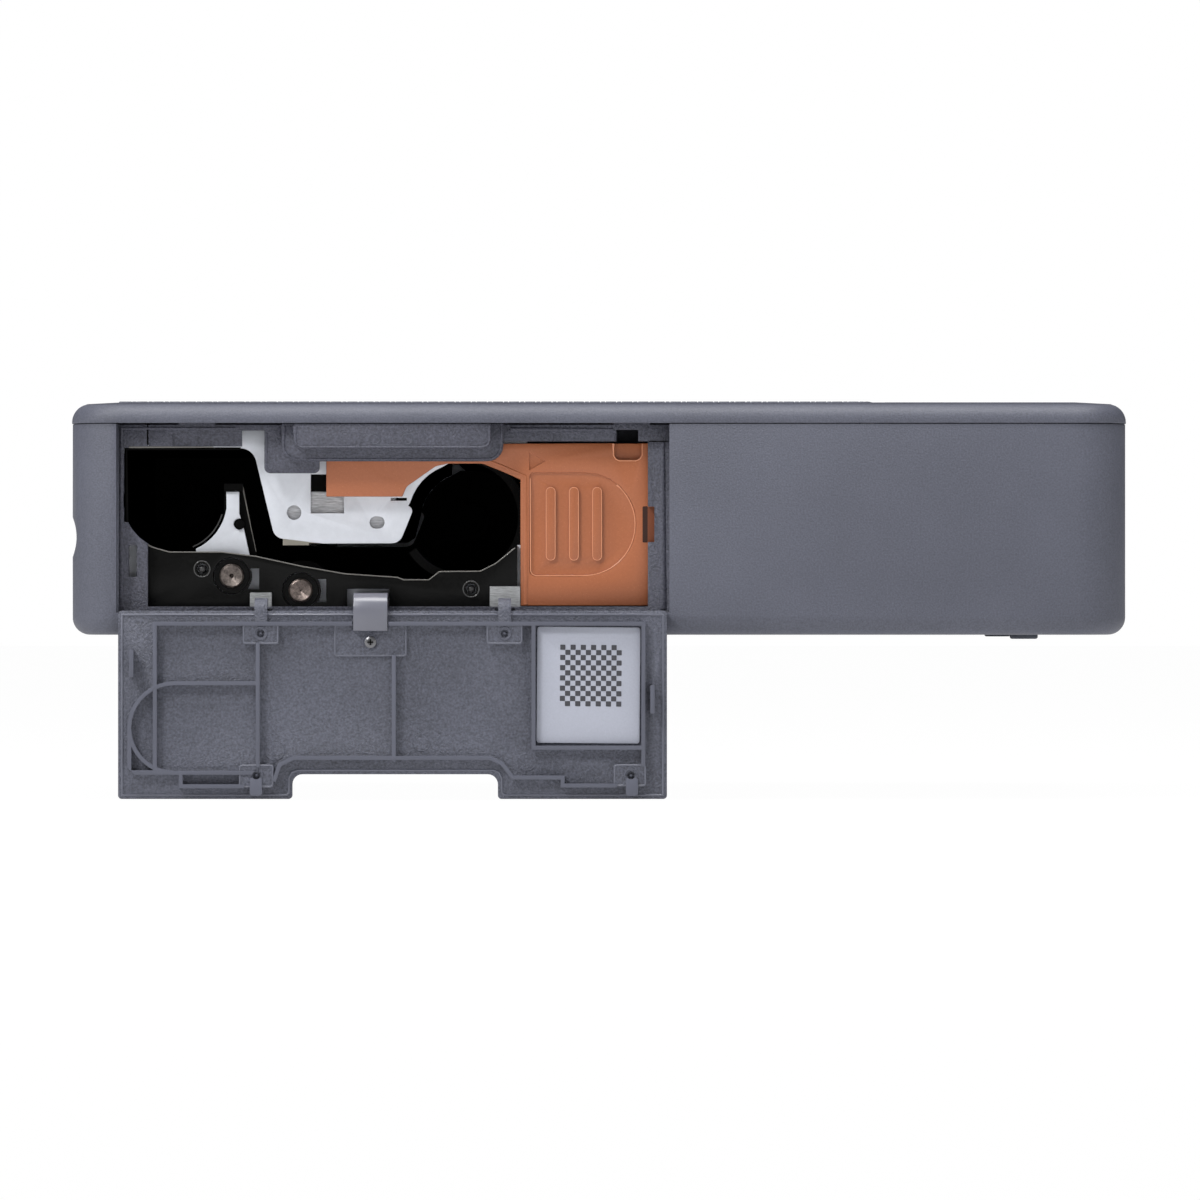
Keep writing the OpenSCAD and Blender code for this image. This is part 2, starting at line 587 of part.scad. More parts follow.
module chassis_far() color(steel_white) from_front() slab(far_y, far_y + plate_t) difference() {
    round_box2(bay_x0 - 1.1, pinion_c[0] + motor_d / 2 + 1, floor_z, tray_z - tray_t, 0.6);
    bush_holes();
    pinch_hole();
    spindle_holes(spindle_r + shaft_gap);
    translate(pinion_c) circle(2.5);
}

// ---- black bay mouldings ----
module cassette_guide() color(black) from_front() {
    slab(guide_y, near_y) difference() {
        polygon(concat([for (i = [1:len(guide_line) - 1]) guide_line[i]],
            [[bay_x1 - 0.5, 7.35], [-15.15, 7.35], [-15.15, sill_z], [-63.4, sill_z]]));
        for (c = [capstan_c, platen_c]) translate(c) circle(bush_r + 0.1);
        // slots beside the rollers, rounded towards them
        difference() {
            union() { box2(-48.6, -46.97, 6.9, 9.78); box2(-39.3, -37.7, 5.1, 8.3); }
            for (c = [capstan_c, platen_c]) translate(c) circle(bush_r + 0.35);
        }
        box2(-48.3, -45.2, 4, 6.5);
        box2(-34.85, -28.96, 4, 6.95);
        for (c = guide_rings) translate(c) circle(0.78);
    }
    for (c = guide_rings) slab(guide_y - 0.3, guide_y) ring(c, 0.78, 1.18);
}
guide_rings = [[-54.85, 9.68], [-17.67, 6.9]];

module bay_liner() color(black) from_front() {
    // end wall of the bay, with holes for the two spindles
    slab(bay_y1 - 0.4, bay_y1) difference() {
        polygon(bay_line);
        spindle_holes(spindle_r + 0.2);
    }
    difference() {
        slab(bay_y0, bay_y1) {
            polygon(concat(guide_line, shifted(flipped(guide_line), [0, -liner_t])));
            box2(bay_x0 - 1.1, bay_x0, supply_z - 4.05, well_top_z + liner_t);
            box2(bay_x0 - 1.1, -48.6, well_top_z, well_top_z + liner_t);
            difference() {
                ring(takeup_c, takeup_r + 0.25, takeup_r + 0.25 + liner_t);
                polygon([takeup_c, takeup_c + [-20, -13], takeup_c + [-20, 20], takeup_c + [-2, 20]]);
            }
        }
        // window for the platen
        block(platen_c[0] - 5.2, platen_c[0] + 4.6, roller_y0 - 1, roller_y1 + 1, platen_z, platen_z + 8);
    }
    // wedge and cap beside the supply well
    slab(bay_y0, bay_y0 + 2) polygon([[-51.9, 21.5], [-49.4, 21.5], [-47.4, 11.3], [-52, 11.3]]);
    slab(near_y - 0.4, bay_y0 + 1) box2(-51.9, -49.3, 20.5, 21.5);
    rod([-49.8, 15.9], 0.65, near_y - 0.4, bay_y0 + 1);
}

// ---- print head under its hood ----
hood_top_z = 26.1;
head_bar_z = 13.9;
module head_hood() color(black) from_front() {
    slab(bay_y0, bay_y0 + 0.5) box2(-44, -27.5, head_front_z, hood_top_z);
    slab(bay_y0, bay_y1 - 0.5) hood_section();
}
head_front_z = 20.4;
module hood_section() difference() {
    polygon(concat([[-46.6, hood_top_z], [-47.3, 25.2], [-44.7, head_bar_z + 0.6],
        [-44, head_bar_z], [-28.2, head_bar_z], [-27.2, 14.6], [-26.2, 18.6]],
        arc_points(takeup_c, takeup_r + 0.2, 160, 112, 5), [[-21.7, hood_top_z]]));
    box2(-43.4, -28, head_bar_z + 1.3, hood_top_z + 1);
}
module print_head() color([0.75, 0.72, 0.66]) from_front() difference() {
    block(platen_c[0] - 2.6, platen_c[0] + 2.6, bay_y0 + 2, bay_y1 - 2, head_bar_z - 0.9, head_bar_z);
    block(platen_c[0] + 1, platen_c[0] + 2.7, bay_y0 + 1, bay_y1 - 1, head_bar_z - 1, head_bar_z - 0.6);
}
fin_count = 7;
fin_pitch = 2.1;
module heat_sink() color([0.78, 0.78, 0.8]) from_front() {
    slab(bay_y0 + 0.6, bay_y1 - 4) {
        box2(-43.2, -28.2, head_bar_z + 1.3, head_bar_z + 3.4);
        for (i = [0:fin_count - 1]) box2(-42.6 + i * fin_pitch, -41.5 + i * fin_pitch,
            head_bar_z + 3.3, hood_top_z - 0.6);
    }
    slab(bay_y0 + 0.6, bay_y0 + 1.4) box2(-43.2, -28.2, head_bar_z + 3.3, head_front_z + 1);
}

// ---- paper tray, electronics ----
module paper_tray() color(slate_dark) difference() {
    union() {
        // brackets of the pick-up roller
        for (s = [-1, 1]) block(pickup_c[0] - 2.2, pickup_c[0] + 2.2, s * 34.5 - 1, s * 34.5 + 1,
            pickup_c[1] - 2.2, tray_z - tray_t + eps);
        block(tray_x0, tray_x1, -tray_w / 2 - tray_t, tray_w / 2 + tray_t, tray_z - tray_t, tray_z);
        for (s = [-1, 1]) block(tray_x0, tray_x1, s > 0 ? tray_w / 2 : -tray_w / 2 - tray_t,
            s > 0 ? tray_w / 2 + tray_t : -tray_w / 2, tray_z - tray_t, tray_z + 2.9);
        block(tray_x1 - tray_t, tray_x1, -tray_w / 2 - tray_t, tray_w / 2 + tray_t,
            tray_z - tray_t, tray_z + 2.9);
        // ears on the near plate and legs on the floor
        block(tray_x0, tray_x0 + 10, bay_y0, -tray_w / 2, tray_z - tray_t, tray_z);
        for (x = leg_x) for (y = [-leg_y, leg_y])
            translate([x, y, floor_z]) cylinder(r = leg_r, h = tray_z - tray_t - floor_z + 0.1);
    }
    rod(pickup_c, 1 + shaft_gap, -tray_w / 2 - 2, tray_w / 2 + 2);
    // room for the lid's hinge barrel
    from_front() rod([lid_axis_x, lid_axis_z], barrel_r + 0.4, -half_d, half_d);
    // windows for the pick-up roller's two tyres
    for (s = [-1, 1]) block(pickup_c[0] - 4, pickup_c[0] + 4, s * 14 - 6.6, s * 14 + 6.6,
        tray_z - 2, tray_z + 1);
}
module main_board() color([0.08, 0.3, 0.2]) difference() {
    block(board_x0, board_x1, board_y0, board_y1, board_z, board_z + board_t);
    for (p = post_spots) translate([p[0], p[1], 0]) cylinder(r = 0.9, h = 8);
    for (p = screw_spots) translate([p[0], p[1], 0]) cylinder(r = 2.3, h = 8);
    translate([leg_x[1], leg_y, 0]) cylinder(r = leg_r + 0.4, h = 8);
}
// place of each chip as a share of the board, then its length, width and height
chips = [[0.17, 0.25, 12, 12, 1.4], [0.51, 0.21, 9, 7, 1.2], [0.28, 0.62, 8, 8, 1.2],
    [0.58, 0.58, 6, 10, 1.8], [0.13, 0.92, 10, 2.4, 2.2], [0.54, 0.9, 12, 2.4, 2.2]];
module board_parts() color([0.15, 0.15, 0.16]) translate([board_x0, board_y0, board_z + board_t]) {
    for (c = chips) translate([c[0] * (board_x1 - board_x0), c[1] * (board_y1 - board_y0), 0])
        cube([c[2], c[3], c[4]]);
    for (y = [0.07, 0.16, 0.73]) translate([0.41 * (board_x1 - board_x0), y * (board_y1 - board_y0), 0])
        cylinder(r = 1.6, h = 5);
}
module usb_socket() color(nickel) difference() {
    slab_x(half_l - 9, half_l - 0.6) round_box2(usb_y - 4.47, usb_y + 4.47, usb_z - 1.6, usb_z + 1.6, 1.58);
    slab_x(half_l - 7.4, half_l) difference() {
        round_box2(usb_y - 4.17, usb_y + 4.17, usb_z - 1.3, usb_z + 1.3, 1.28);
        box2(usb_y - 3.4, usb_y + 3.4, usb_z - 0.35, usb_z + 0.35);
    }
}
module battery_pack() color([0.2, 0.22, 0.26]) slab_x(battery_x0, battery_x1)
    round_box2(battery_y0, battery_y1, floor_z, floor_z + battery_h, 2.5);
module status_lenses() color([0.9, 0.93, 0.95]) for (y = lens_y)
    translate([button_c[0], y, plate_under_z - 1.4]) cylinder(r = lens_r, h = top_z - plate_under_z + 1.4);

// ---- drive ----
function inv(a) = tan(a) * 180 / PI - a;
// flank of an involute tooth: radius and half angle at each step from root to tip
function flank(n, steps = 4) = let (rp = gear_m * n / 2, rb = rp * cos(20), ra = rp + 0.9 * gear_m,
    r0 = max(rb, rp - 0.6 * gear_m), half = 90 / n - 0.04 / rp * 180 / PI)
    [for (i = [0:steps]) let (r = r0 + (ra - r0) * i / steps)
        [r, half + inv(20) - inv(acos(min(1, rb / r)))]];
function polar(r, a) = r * [cos(a), sin(a)];
function gear_points(n) = let (f = flank(n), rf = gear_m * n / 2 - 1.15 * gear_m, k = len(f) - 1)
    [for (t = [0:n - 1]) let (a = t * 360 / n) each concat(
        [polar(rf, a - f[0][1] - 0.5)], [for (i = [0:k]) polar(f[i][0], a - f[i][1])],
        [for (i = [k:-1:0]) polar(f[i][0], a + f[i][1])], [polar(rf, a + f[0][1] + 0.5)])];
module gear(c, n, turn, bore, y0, y1, hub_r = 0, hub_y = 0) {
    slab(y0, y1) translate(c) difference() { rotate(turn) polygon(gear_points(n)); circle(bore); }
    if (hub_r > 0) slab(y1 - eps, y1 + hub_y) ring(c, bore, hub_r);
}
module drive_motor() color(nickel) from_front() difference() {
    union() {
        rod(pinion_c, motor_d / 2, far_y - motor_l, far_y - 0.8);
        rod(pinion_c, motor_d / 2 - 1.2, far_y - motor_l - 0.8, far_y);
        rod(pinion_c, 2.4, far_y - eps, far_y + plate_t);
    }
    rod(pinion_c, 0.8, far_y - 6, far_y + plate_t + 1);
}
module gear_studs() color(nickel) from_front() for (c = [upper_c, lower_c]) {
    rod(c, stud_r, far_y + plate_t, gear_y2 + gear_w + 0.6);
    rod(c, 1.9, far_y + plate_t, gear_y2 - 0.3);
}
module bush(c, bore, y0, y1) slab(y0, y1) ring(c, bore, bush_r);
module roller_bushes() color(black) from_front() for (p = [[capstan_c, capstan_r], [platen_c, platen_shaft_r]]) {
    bush(p[0], p[1] + shaft_gap, near_y - 1, bay_y0);
    bush(p[0], p[1] + shaft_gap, far_y, far_y + plate_t + 0.3);
}
module machined_end(c, r, y_end) difference() {
    rod(c, r, guide_y + 0.5, y_end);
    rod(c, 0.45, guide_y, guide_y + 1.4);
}
module platen_shaft() color(nickel) from_front() machined_end(platen_c, platen_shaft_r, gear_y + gear_w);
module platen_rubber() color([0.16, 0.16, 0.17]) from_front()
    slab(roller_y0, roller_y1) ring(platen_c, platen_shaft_r, platen_r);
module platen_gear() color([0.85, 0.85, 0.8]) from_front()
    gear(platen_c, t_platen, turn_platen, platen_shaft_r, gear_y, gear_y + gear_w);
module capstan_shaft() color(nickel) from_front() machined_end(capstan_c, capstan_r, gear_y2 + gear_w);
module capstan_gear() color([0.85, 0.85, 0.8]) from_front()
    gear(capstan_c, t_capstan, turn_capstan, capstan_r, gear_y, gear_y2 + gear_w);
module hub(c) {
    slab(far_y - 7, far_y - 0.5) union() { translate(c) circle(2.6);
        for (a = [0, 120, 240]) translate(c) rotate(a) translate([2.4, -0.5]) square([1.1, 1]); }
}
module takeup_spindle() color(black) from_front() {
    hub(takeup_c);
    rod(takeup_c, spindle_r, far_y - 1, gear_y2 + gear_w);
}
module takeup_gear() color([0.85, 0.85, 0.8]) from_front()
    gear(takeup_c, t_takeup, turn_takeup, spindle_r, gear_y2, gear_y2 + gear_w);
module supply_spindle() color(black) from_front() {
    hub(supply_c);
    rod(supply_c, spindle_r, far_y - 1, far_y + plate_t + 0.4);
    rod(supply_c, spindle_r + 1, far_y + plate_t + 0.4, far_y + plate_t + 1.2);
}
module idler_upper() color([0.85, 0.85, 0.8]) from_front()
    gear(upper_c, t_upper, turn_upper, stud_r + shaft_gap, gear_y2, gear_y2 + gear_w);
module idler_lower() color([0.85, 0.85, 0.8]) from_front()
    gear(lower_c, t_lower, turn_lower, stud_r + shaft_gap, gear_y2, gear_y2 + gear_w);
module motor_pinion() color("goldenrod") from_front() {
    gear(pinion_c, t_pinion, turn_pinion, 0.75, gear_y2, gear_y2 + gear_w);
    rod(pinion_c, 0.75, far_y - 5, gear_y2 + gear_w);
}
module pinch_roller() color(nickel) from_front() {
    rod([capstan_x, pinch_z], pinch_r, roller_y0 + 0.5, roller_y1 - 0.5);
    rod([capstan_x, pinch_z], 1, near_y + 0.2, far_y + plate_t - 0.2);
}
module pickup_roller() color([0.16, 0.16, 0.17]) {
    for (s = [-1, 1]) rod(pickup_c, pickup_r, s * 14 - 6, s * 14 + 6);
    rod(pickup_c, 1, -36, 36);
}

// ---- eject lever ----
arm_x0 = -37.7;
arm_z0 = 19.7;
module lever_outline() polygon(concat(
    [[lever_x0, sill_z + 0.1], [lever_x0 + lever_l, sill_z + 0.1], [lever_x0 + lever_l, lever_top_z],
        [arm_x0, lever_top_z - 0.2], [arm_x0, arm_z0]],
    rounded([[-27.2, arm_z0, 0], [-26.6, 21.1, 1.2], [-22.6, 23.9, 1.5], [-20.9, 24.27, 0],
        [-16.1, 24.27, 1.5], [-13.3, 23.15, 2], [lever_x0, 22.05, 0]])));
module thumb_outline() {
    r = 7.16;
    z0 = 8.73;
    polygon(concat(rounded([[-1.98, z0 + 2 * r, 0], [-9.6, z0 + 2 * r, 0.7], [-9.6, z0, 0.7],
        [-1.98, z0, 0]]), arc_points([-1.98, z0 + r], r, -90, 90, 12)));
}
module eject_lever() color(terracotta) from_front() {
    difference() {
        slab(lever_y, lever_y + lever_t) lever_outline();
        slab(lever_y - 1, lever_y + thumb_deep) thumb_outline();
        slab(lever_y - 1, lever_y + 0.8) round_box2(2.18, 5.81, 24.8, 28, 0.8);
        slab(lever_y - 1, lever_y + 0.25)
            polygon([[-9.6, 25.8], [-9.6, 23.36], [-7.47, 24.6]]);
    }
    for (i = [0:grip_ribs - 1]) slab(lever_y, lever_y + thumb_deep + eps)
        round_box2(grip_x0 + i * grip_pitch, grip_x0 + i * grip_pitch + grip_w, 10.87, 21, 0.64);
    // spring tongue behind the plate
    slab(lever_y + lever_t - eps, lever_y + lever_t + 2) box2(lever_x0 + lever_l - 1.5,
        lever_x0 + lever_l, 12, 19);
}
grip_x0 = -7.32;
module lever_spring() color(nickel) from_front()
    translate([lever_x0 + lever_l + 0.02, lever_y + lever_t + 1, 15.5]) rotate([0, 90, 0])
        difference() { cylinder(r = 0.9, h = 9); translate([0, 0, -1]) cylinder(r = 0.6, h = 11); }

module power_button() color(slate_dark) translate([button_c[0], button_c[1], 0]) {
    translate([0, 0, plate_under_z - 1.2]) cylinder(r = button_r, h = top_z - plate_under_z + 1.1);
    translate([0, 0, plate_under_z - 2]) cylinder(r = button_r + 1, h = 0.81);
}

// ---- paper lid ----
// each pitch has a broad flat, a narrow groove, a narrow rib and another groove
module lid_section() {
    x_end = lid_axis_x - 0.3;
    pitch = (x_end - lid_x0 - 0.5) / ridge_count;
    steps = [[0.62, 0], [0.66, 1], [0.7, 0], [0.93, 0], [0.965, 1], [1, 0]];
    ridges = [for (i = [0:ridge_count - 1]) for (q = steps)
        [lid_x0 + 0.5 + (i + q[0]) * pitch, body_h - q[1] * ridge_h]];
    polygon(concat([[lid_x0, lid_under_z], [lid_x0, body_h - 0.4], [lid_x0 + 0.3, body_h]],
        ridges, [[x_end, lid_under_z]]));
}
module paper_lid() color(slate) from_front() difference() {
    union() {
        slab(-lid_w / 2, lid_w / 2) lid_section();
        rod([lid_axis_x, lid_axis_z], barrel_r, -lid_w / 2 + 0.1, lid_w / 2 - 0.1);
    }
    for (s = [-1, 1]) rod([lid_axis_x, lid_axis_z], lid_pin_r, s > 0 ? lid_w / 2 - 4 : -lid_w / 2 - 1,
        s > 0 ? lid_w / 2 + 1 : -lid_w / 2 + 4);
}
module lid_hinge_pins() color(nickel) from_front() for (s = [-1, 1])
    rod([lid_axis_x, lid_axis_z], lid_pin_r, s > 0 ? lid_w / 2 - 4 : -lid_w / 2 - 3.4,
        s > 0 ? lid_w / 2 + 3.4 : -lid_w / 2 + 4);

// ---- ink cover, drawn where it hangs open ----
module cover_outline() polygon(rounded([[cover_x0, cover_top_z, 0.5], [cover_x0, cover_low_z, 0.5],
    [notch_x - notch_w / 2, cover_low_z, 0.5], [notch_x - notch_w / 2, notch_z, 1.4],
    [notch_x + notch_w / 2, notch_z, 1.4], [notch_x + notch_w / 2, cover_low_z, 0.5],
    [cover_x1, cover_low_z, 0.5], [cover_x1, cover_top_z, 0.5]]));
// rib along a line of points, mitred at its bends
module rib_path(p, h) slab(cover_in_y - h, cover_in_y + eps) polygon(stroke(p, rib_t / 2));
module cover_pad(x0, x1, z0, z1, h, r = 0.4)
    slab(cover_in_y - h, cover_in_y + eps) round_box2(x0, x1, z0, z1, r);
module cover_finger(x) slab_x(x - finger_w / 2, x + finger_w / 2) polygon(concat(
    arc_points([hinge_y, hinge_z], 1.85, 50, 180, 9),
    [[hinge_y - 1.85, cover_top_z - 2.3], [hinge_y - 0.95, cover_top_z - 2.3]],
    arc_points([hinge_y, hinge_z], 0.95, 180, 50, 7)));
top_rib_z = cover_top_z - 1.78;
rib_left_x = cover_x0 + 5.1;
rib_mid_x = [-46.9, -28.2];
boss_z = top_rib_z - 1.35;
label_x0 = -9;
label_x1 = 6.1;
label_z0 = -14.9;
arch_c = [-58.4, -12.19];
arch_r = 6.15;
// half-round rib that clears the supply spool, inside its square corner
module arch_ribs() {
    r_out = arch_r + rib_t / 2;
    r_in = arch_r - rib_t / 2;
    x_end = rib_mid_x[0];
    corner = arch_c - [r_in, r_in] + [0, 0.06];
    difference() {
        polygon(concat([[x_end, arch_c[1] + r_out]], arc_points(arch_c, r_out, 90, 180, 9),
            [arch_c + [-r_out, -r_out + 1], arch_c + [-r_out + 1, -r_out], [x_end, arch_c[1] - r_out]]));
        polygon(concat([[x_end - 0.1, arch_c[1] + r_in]], arc_points(arch_c, r_in, 90, 270, 18),
            [[x_end - 0.1, arch_c[1] - r_in]]));
        polygon(concat([corner], arc_points(arch_c, r_out, 180 + acos((arch_c[0] - corner[0]) / r_out),
            180 + asin((arch_c[1] - corner[1]) / r_out), 5)));
    }
}
module ink_cover() color(slate) from_front() {
    difference() {
        union() {
            slab(cover_in_y, cover_out_y) cover_outline();
            rib_path([[rib_left_x, -18], [rib_left_x, top_rib_z], [label_x1, top_rib_z],
                [label_x1, -17.2]], rib_h);
            slab(cover_in_y - rib_h, cover_in_y + eps) arch_ribs();
            rib_path([[-57.5, -18.4], [-57.5, -20.2], [-49, -20.2]], rib_h);
            rib_path([[rib_mid_x[0], -0.7], [rib_mid_x[0], -17.3]], rib_h);
            rib_path([[rib_mid_x[1], -2.4], [rib_mid_x[1], -16.4]], rib_h);
            rib_path([[-44.6, -19.3], [-43.9, -17.25], [-42, -16.3], [-15, -16.3], [-13.3, -17.1],
                [-11.9, -19], [-5, -19], [-5, -20.1], [2.2, -20.1]], rib_h);
            rib_path([[label_x0, top_rib_z - 0.1], [label_x0, label_z0],
                [label_x1 - 0.1, label_z0]], rib_h);
            // pads that carry the fingers, the catches and the strap
            for (x = finger_x) cover_pad(x - 2.5, x + 2.5, -0.7, top_rib_z + 0.2, 0.9);
            cover_pad(-49.5, -44.7, -20.4, -17.2, 0.9);
            cover_pad(2, 6.5, -20.25, -17.15, 0.9);
            cover_pad(strap_x - 5.05, strap_x + 5.05, -2.4, top_rib_z + 0.2, 0.3);
            // end tabs and edge catches
            cover_pad(-64.55, -63.95, -5.2, -1.4, 1.9, 0.15);
            cover_pad(7.05, 7.65, -10.2, -6.3, 1.9, 0.15);
            for (x = [-47.15, 4.53]) cover_pad(x - 0.85, x + 0.85, -21.5, -19, 1.3);
            for (x = finger_x) cover_finger(x);
        }
        for (p = [[finger_x[0], boss_z], [finger_x[1], boss_z], [-47.1, -18.7], [4.4, -18.7]])
            slab(cover_in_y - 2, cover_in_y - 0.5) translate(p) circle(0.55);
        // the collar that the strap's end lies in, and its screw hole
        slab(cover_in_y - 3, cover_in_y - 0.3)
            box2(strap_x - strap_w / 2 - 0.15, strap_x + strap_w / 2 + 0.15, 1, cover_top_z + 1);
        slab(cover_in_y - 1, cover_in_y + 0.7) translate([strap_x, -0.4]) circle(0.45);
    }
}
module strap_screw() color(nickel) from_front() {
    rod([strap_x, -0.4], 0.8, cover_in_y - 0.65, cover_in_y - 0.3);
    rod([strap_x, -0.4], 0.44, cover_in_y - 0.4, cover_in_y + 0.6);
}
module label_plate() color([0.7, 0.71, 0.76]) from_front() slab(cover_in_y - 0.25, cover_in_y)
    round_box2(label_x0 + 0.45, label_x1 - 0.45, label_z0 + 0.6, top_rib_z - 0.45, 0.4);
module cover_strap() color(slate_dark) from_front() slab_x(strap_x - strap_w / 2, strap_x + strap_w / 2)
    polygon(concat([[near_y, hinge_z + strap_r - strap_t], [near_y, hinge_z + strap_r]],
        arc_points([hinge_y, hinge_z], strap_r, 90, 180, 10),
        [[hinge_y - strap_r, 1.15], [hinge_y - strap_r + strap_t, 1.15]],
        arc_points([hinge_y, hinge_z], strap_r - strap_t, 180, 90, 10)));

bottom_case();
top_case();
side_frame();
top_frame();
chassis_near();
chassis_far();
cassette_guide();
bay_liner();
head_hood();
print_head();
heat_sink();
paper_tray();
main_board();
board_parts();
battery_pack();
usb_socket();
drive_motor();
gear_studs();
roller_bushes();
status_lenses();
rubber_feet();
case_screws();
lever_spring();
cover_strap();
ink_cover();
label_plate();
strap_screw();
paper_lid();
lid_hinge_pins();
eject_lever();
power_button();
platen_shaft();
platen_rubber();
platen_gear();
capstan_shaft();
capstan_gear();
takeup_spindle();
takeup_gear();
idler_upper();
idler_lower();
motor_pinion();
supply_spindle();
pinch_roller();
pickup_roller();
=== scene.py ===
"""Looks of the compact photo printer: finishes, softened edges and small trim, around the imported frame."""
import json
import math

import bmesh
import bpy
from mathutils import Matrix, Vector


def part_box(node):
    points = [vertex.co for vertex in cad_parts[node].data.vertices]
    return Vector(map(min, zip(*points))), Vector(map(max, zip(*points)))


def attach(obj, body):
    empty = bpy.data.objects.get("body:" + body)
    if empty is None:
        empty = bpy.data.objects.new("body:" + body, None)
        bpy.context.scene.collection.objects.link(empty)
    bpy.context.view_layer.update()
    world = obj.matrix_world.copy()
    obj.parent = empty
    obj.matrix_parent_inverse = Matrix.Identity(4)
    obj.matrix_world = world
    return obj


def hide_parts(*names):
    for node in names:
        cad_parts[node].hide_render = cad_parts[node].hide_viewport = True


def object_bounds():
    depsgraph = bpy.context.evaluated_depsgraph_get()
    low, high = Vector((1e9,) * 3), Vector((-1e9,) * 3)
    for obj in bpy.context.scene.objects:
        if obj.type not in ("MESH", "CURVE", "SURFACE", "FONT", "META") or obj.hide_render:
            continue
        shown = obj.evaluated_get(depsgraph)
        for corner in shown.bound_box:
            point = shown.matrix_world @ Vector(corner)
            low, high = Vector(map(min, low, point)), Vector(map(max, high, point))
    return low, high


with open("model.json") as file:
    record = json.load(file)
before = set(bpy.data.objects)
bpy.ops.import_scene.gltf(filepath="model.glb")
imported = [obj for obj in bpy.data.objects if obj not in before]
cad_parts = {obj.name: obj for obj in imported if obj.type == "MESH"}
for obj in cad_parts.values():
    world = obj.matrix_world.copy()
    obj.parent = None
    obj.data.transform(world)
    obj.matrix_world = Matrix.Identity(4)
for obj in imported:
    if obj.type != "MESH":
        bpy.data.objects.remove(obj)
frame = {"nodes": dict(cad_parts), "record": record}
cad_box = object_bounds()

MM = 0.001
record = frame["record"]

# centres in X and Z of the two shafts that show their turned ends, in millimetres
CAPSTAN = (-50.8, 8.73)
PLATEN = (-41.2637, 6.7)


def mm(*values):
    return Vector([value * MM for value in values])


# ---- shader maths ----
class Value:
    """A socket of a material's tree; arithmetic on it adds Math nodes."""

    def __init__(self, finish, socket):
        self.finish, self.socket = finish, socket

    def math(self, operation, first, second):
        return self.finish.node("ShaderNodeMath", {"operation": operation}, [first, second])

    def __add__(self, other):
        return self.math("ADD", self, other)

    def __radd__(self, other):
        return self.math("ADD", other, self)

    def __sub__(self, other):
        return self.math("SUBTRACT", self, other)

    def __rsub__(self, other):
        return self.math("SUBTRACT", other, self)

    def __mul__(self, other):
        return self.math("MULTIPLY", self, other)

    def __rmul__(self, other):
        return self.math("MULTIPLY", other, self)

    def __gt__(self, other):
        return self.math("GREATER_THAN", self, other)


class Finish:
    """A material being made. node() adds any node and returns its first output, or the one that is named."""

    def __init__(self, name, colour, roughness, metallic=0.0, coat=0.0, specular=0.5):
        self.material = bpy.data.materials.new(name)
        self.material.use_nodes = True
        self.tree = self.material.node_tree
        self.shader = self.tree.nodes["Principled BSDF"]
        self.colour = colour
        self.set("Base Color", (*colour, 1))
        self.set("Roughness", roughness)
        self.set("Metallic", metallic)
        self.set("Coat Weight", coat)
        self.set("Specular IOR Level", specular)
        self.material.diffuse_color = (*colour, 1)

    def set(self, socket, value):
        if isinstance(value, Value):
            self.tree.links.new(value.socket, self.shader.inputs[socket])
        else:
            self.shader.inputs[socket].default_value = value
        return self

    def node(self, kind, settings=None, inputs=(), output=0):
        made = self.tree.nodes.new(kind)
        for key, setting in (settings or {}).items():
            if key == "stops":
                ramp = made.color_ramp.elements
                for spare in range(len(setting) - len(ramp)):
                    ramp.new(0.5)
                for element, (place, level) in zip(ramp, setting):
                    element.position = place
                    element.color = (level, level, level, 1)
            else:
                setattr(made, key, setting)
        pairs = inputs.items() if isinstance(inputs, dict) else enumerate(inputs)
        for socket, value in pairs:
            if isinstance(value, Value):
                self.tree.links.new(value.socket, made.inputs[socket])
            elif value is not None:
                made.inputs[socket].default_value = value
        return Value(self, made.outputs[output])

    def place(self):
        return self.node("ShaderNodeTexCoord", output="Object")

    def stretched(self, scale, turn=(0, 0, 0), centre=(0, 0, 0)):
        return self.node("ShaderNodeMapping", {},
                         {"Vector": self.place(), "Scale": scale, "Rotation": turn, "Location": centre})

    def noise(self, grain, detail=2.0, place=None, rough=0.5):
        """Noise with lumps of about the given size in millimetres."""
        return self.node("ShaderNodeTexNoise", {},
                         {"Vector": place or self.place(), "Scale": 1 / (grain * MM),
                          "Detail": detail, "Roughness": rough})

    def cells(self, size, place=None):
        return self.node("ShaderNodeTexVoronoi", {},
                         {"Vector": place or self.place(), "Scale": 1 / (size * MM)})

    def ramp(self, value, stops):
        return self.node("ShaderNodeValToRGB", {"stops": stops}, [value])

    def mix(self, factor, first, second):
        return self.node("ShaderNodeMix", {"data_type": "RGBA"},
                         {0: factor, 6: (*first, 1) if isinstance(first, tuple) else first,
                          7: (*second, 1) if isinstance(second, tuple) else second}, output=2)

    def varied(self, factor, spread):
        """The finish's colour, varied by a share of itself."""
        dark = tuple(c * (1 - spread) for c in self.colour)
        light = tuple(min(1, c * (1 + spread)) for c in self.colour)
        return self.mix(factor, dark, light)

    def shade(self, factor, spread):
        return self.set("Base Color", self.varied(factor, spread))

    def bump(self, height, depth, strength=1.0):
        """Relief of the given depth in millimetres."""
        return self.set("Normal", self.node("ShaderNodeBump", {},
                        {"Strength": strength, "Distance": depth * MM, "Height": height}))


def srgb(red, green, blue):
    return tuple(c / 12.92 if c <= 0.04045 else ((c + 0.055) / 1.055) ** 2.4
                 for c in (red / 255, green / 255, blue / 255))


# ---- finishes ----
# how much paler the smooth tops of the cover's ribs are painted than its grained plate: a painted highlight
# for the light their tops catch
RIB_TOP_PAINTED_HIGHLIGHT = 1.12
# pitch of the rings that the lathe tool leaves on a shaft's end, in millimetres
RING_PITCH = 0.16


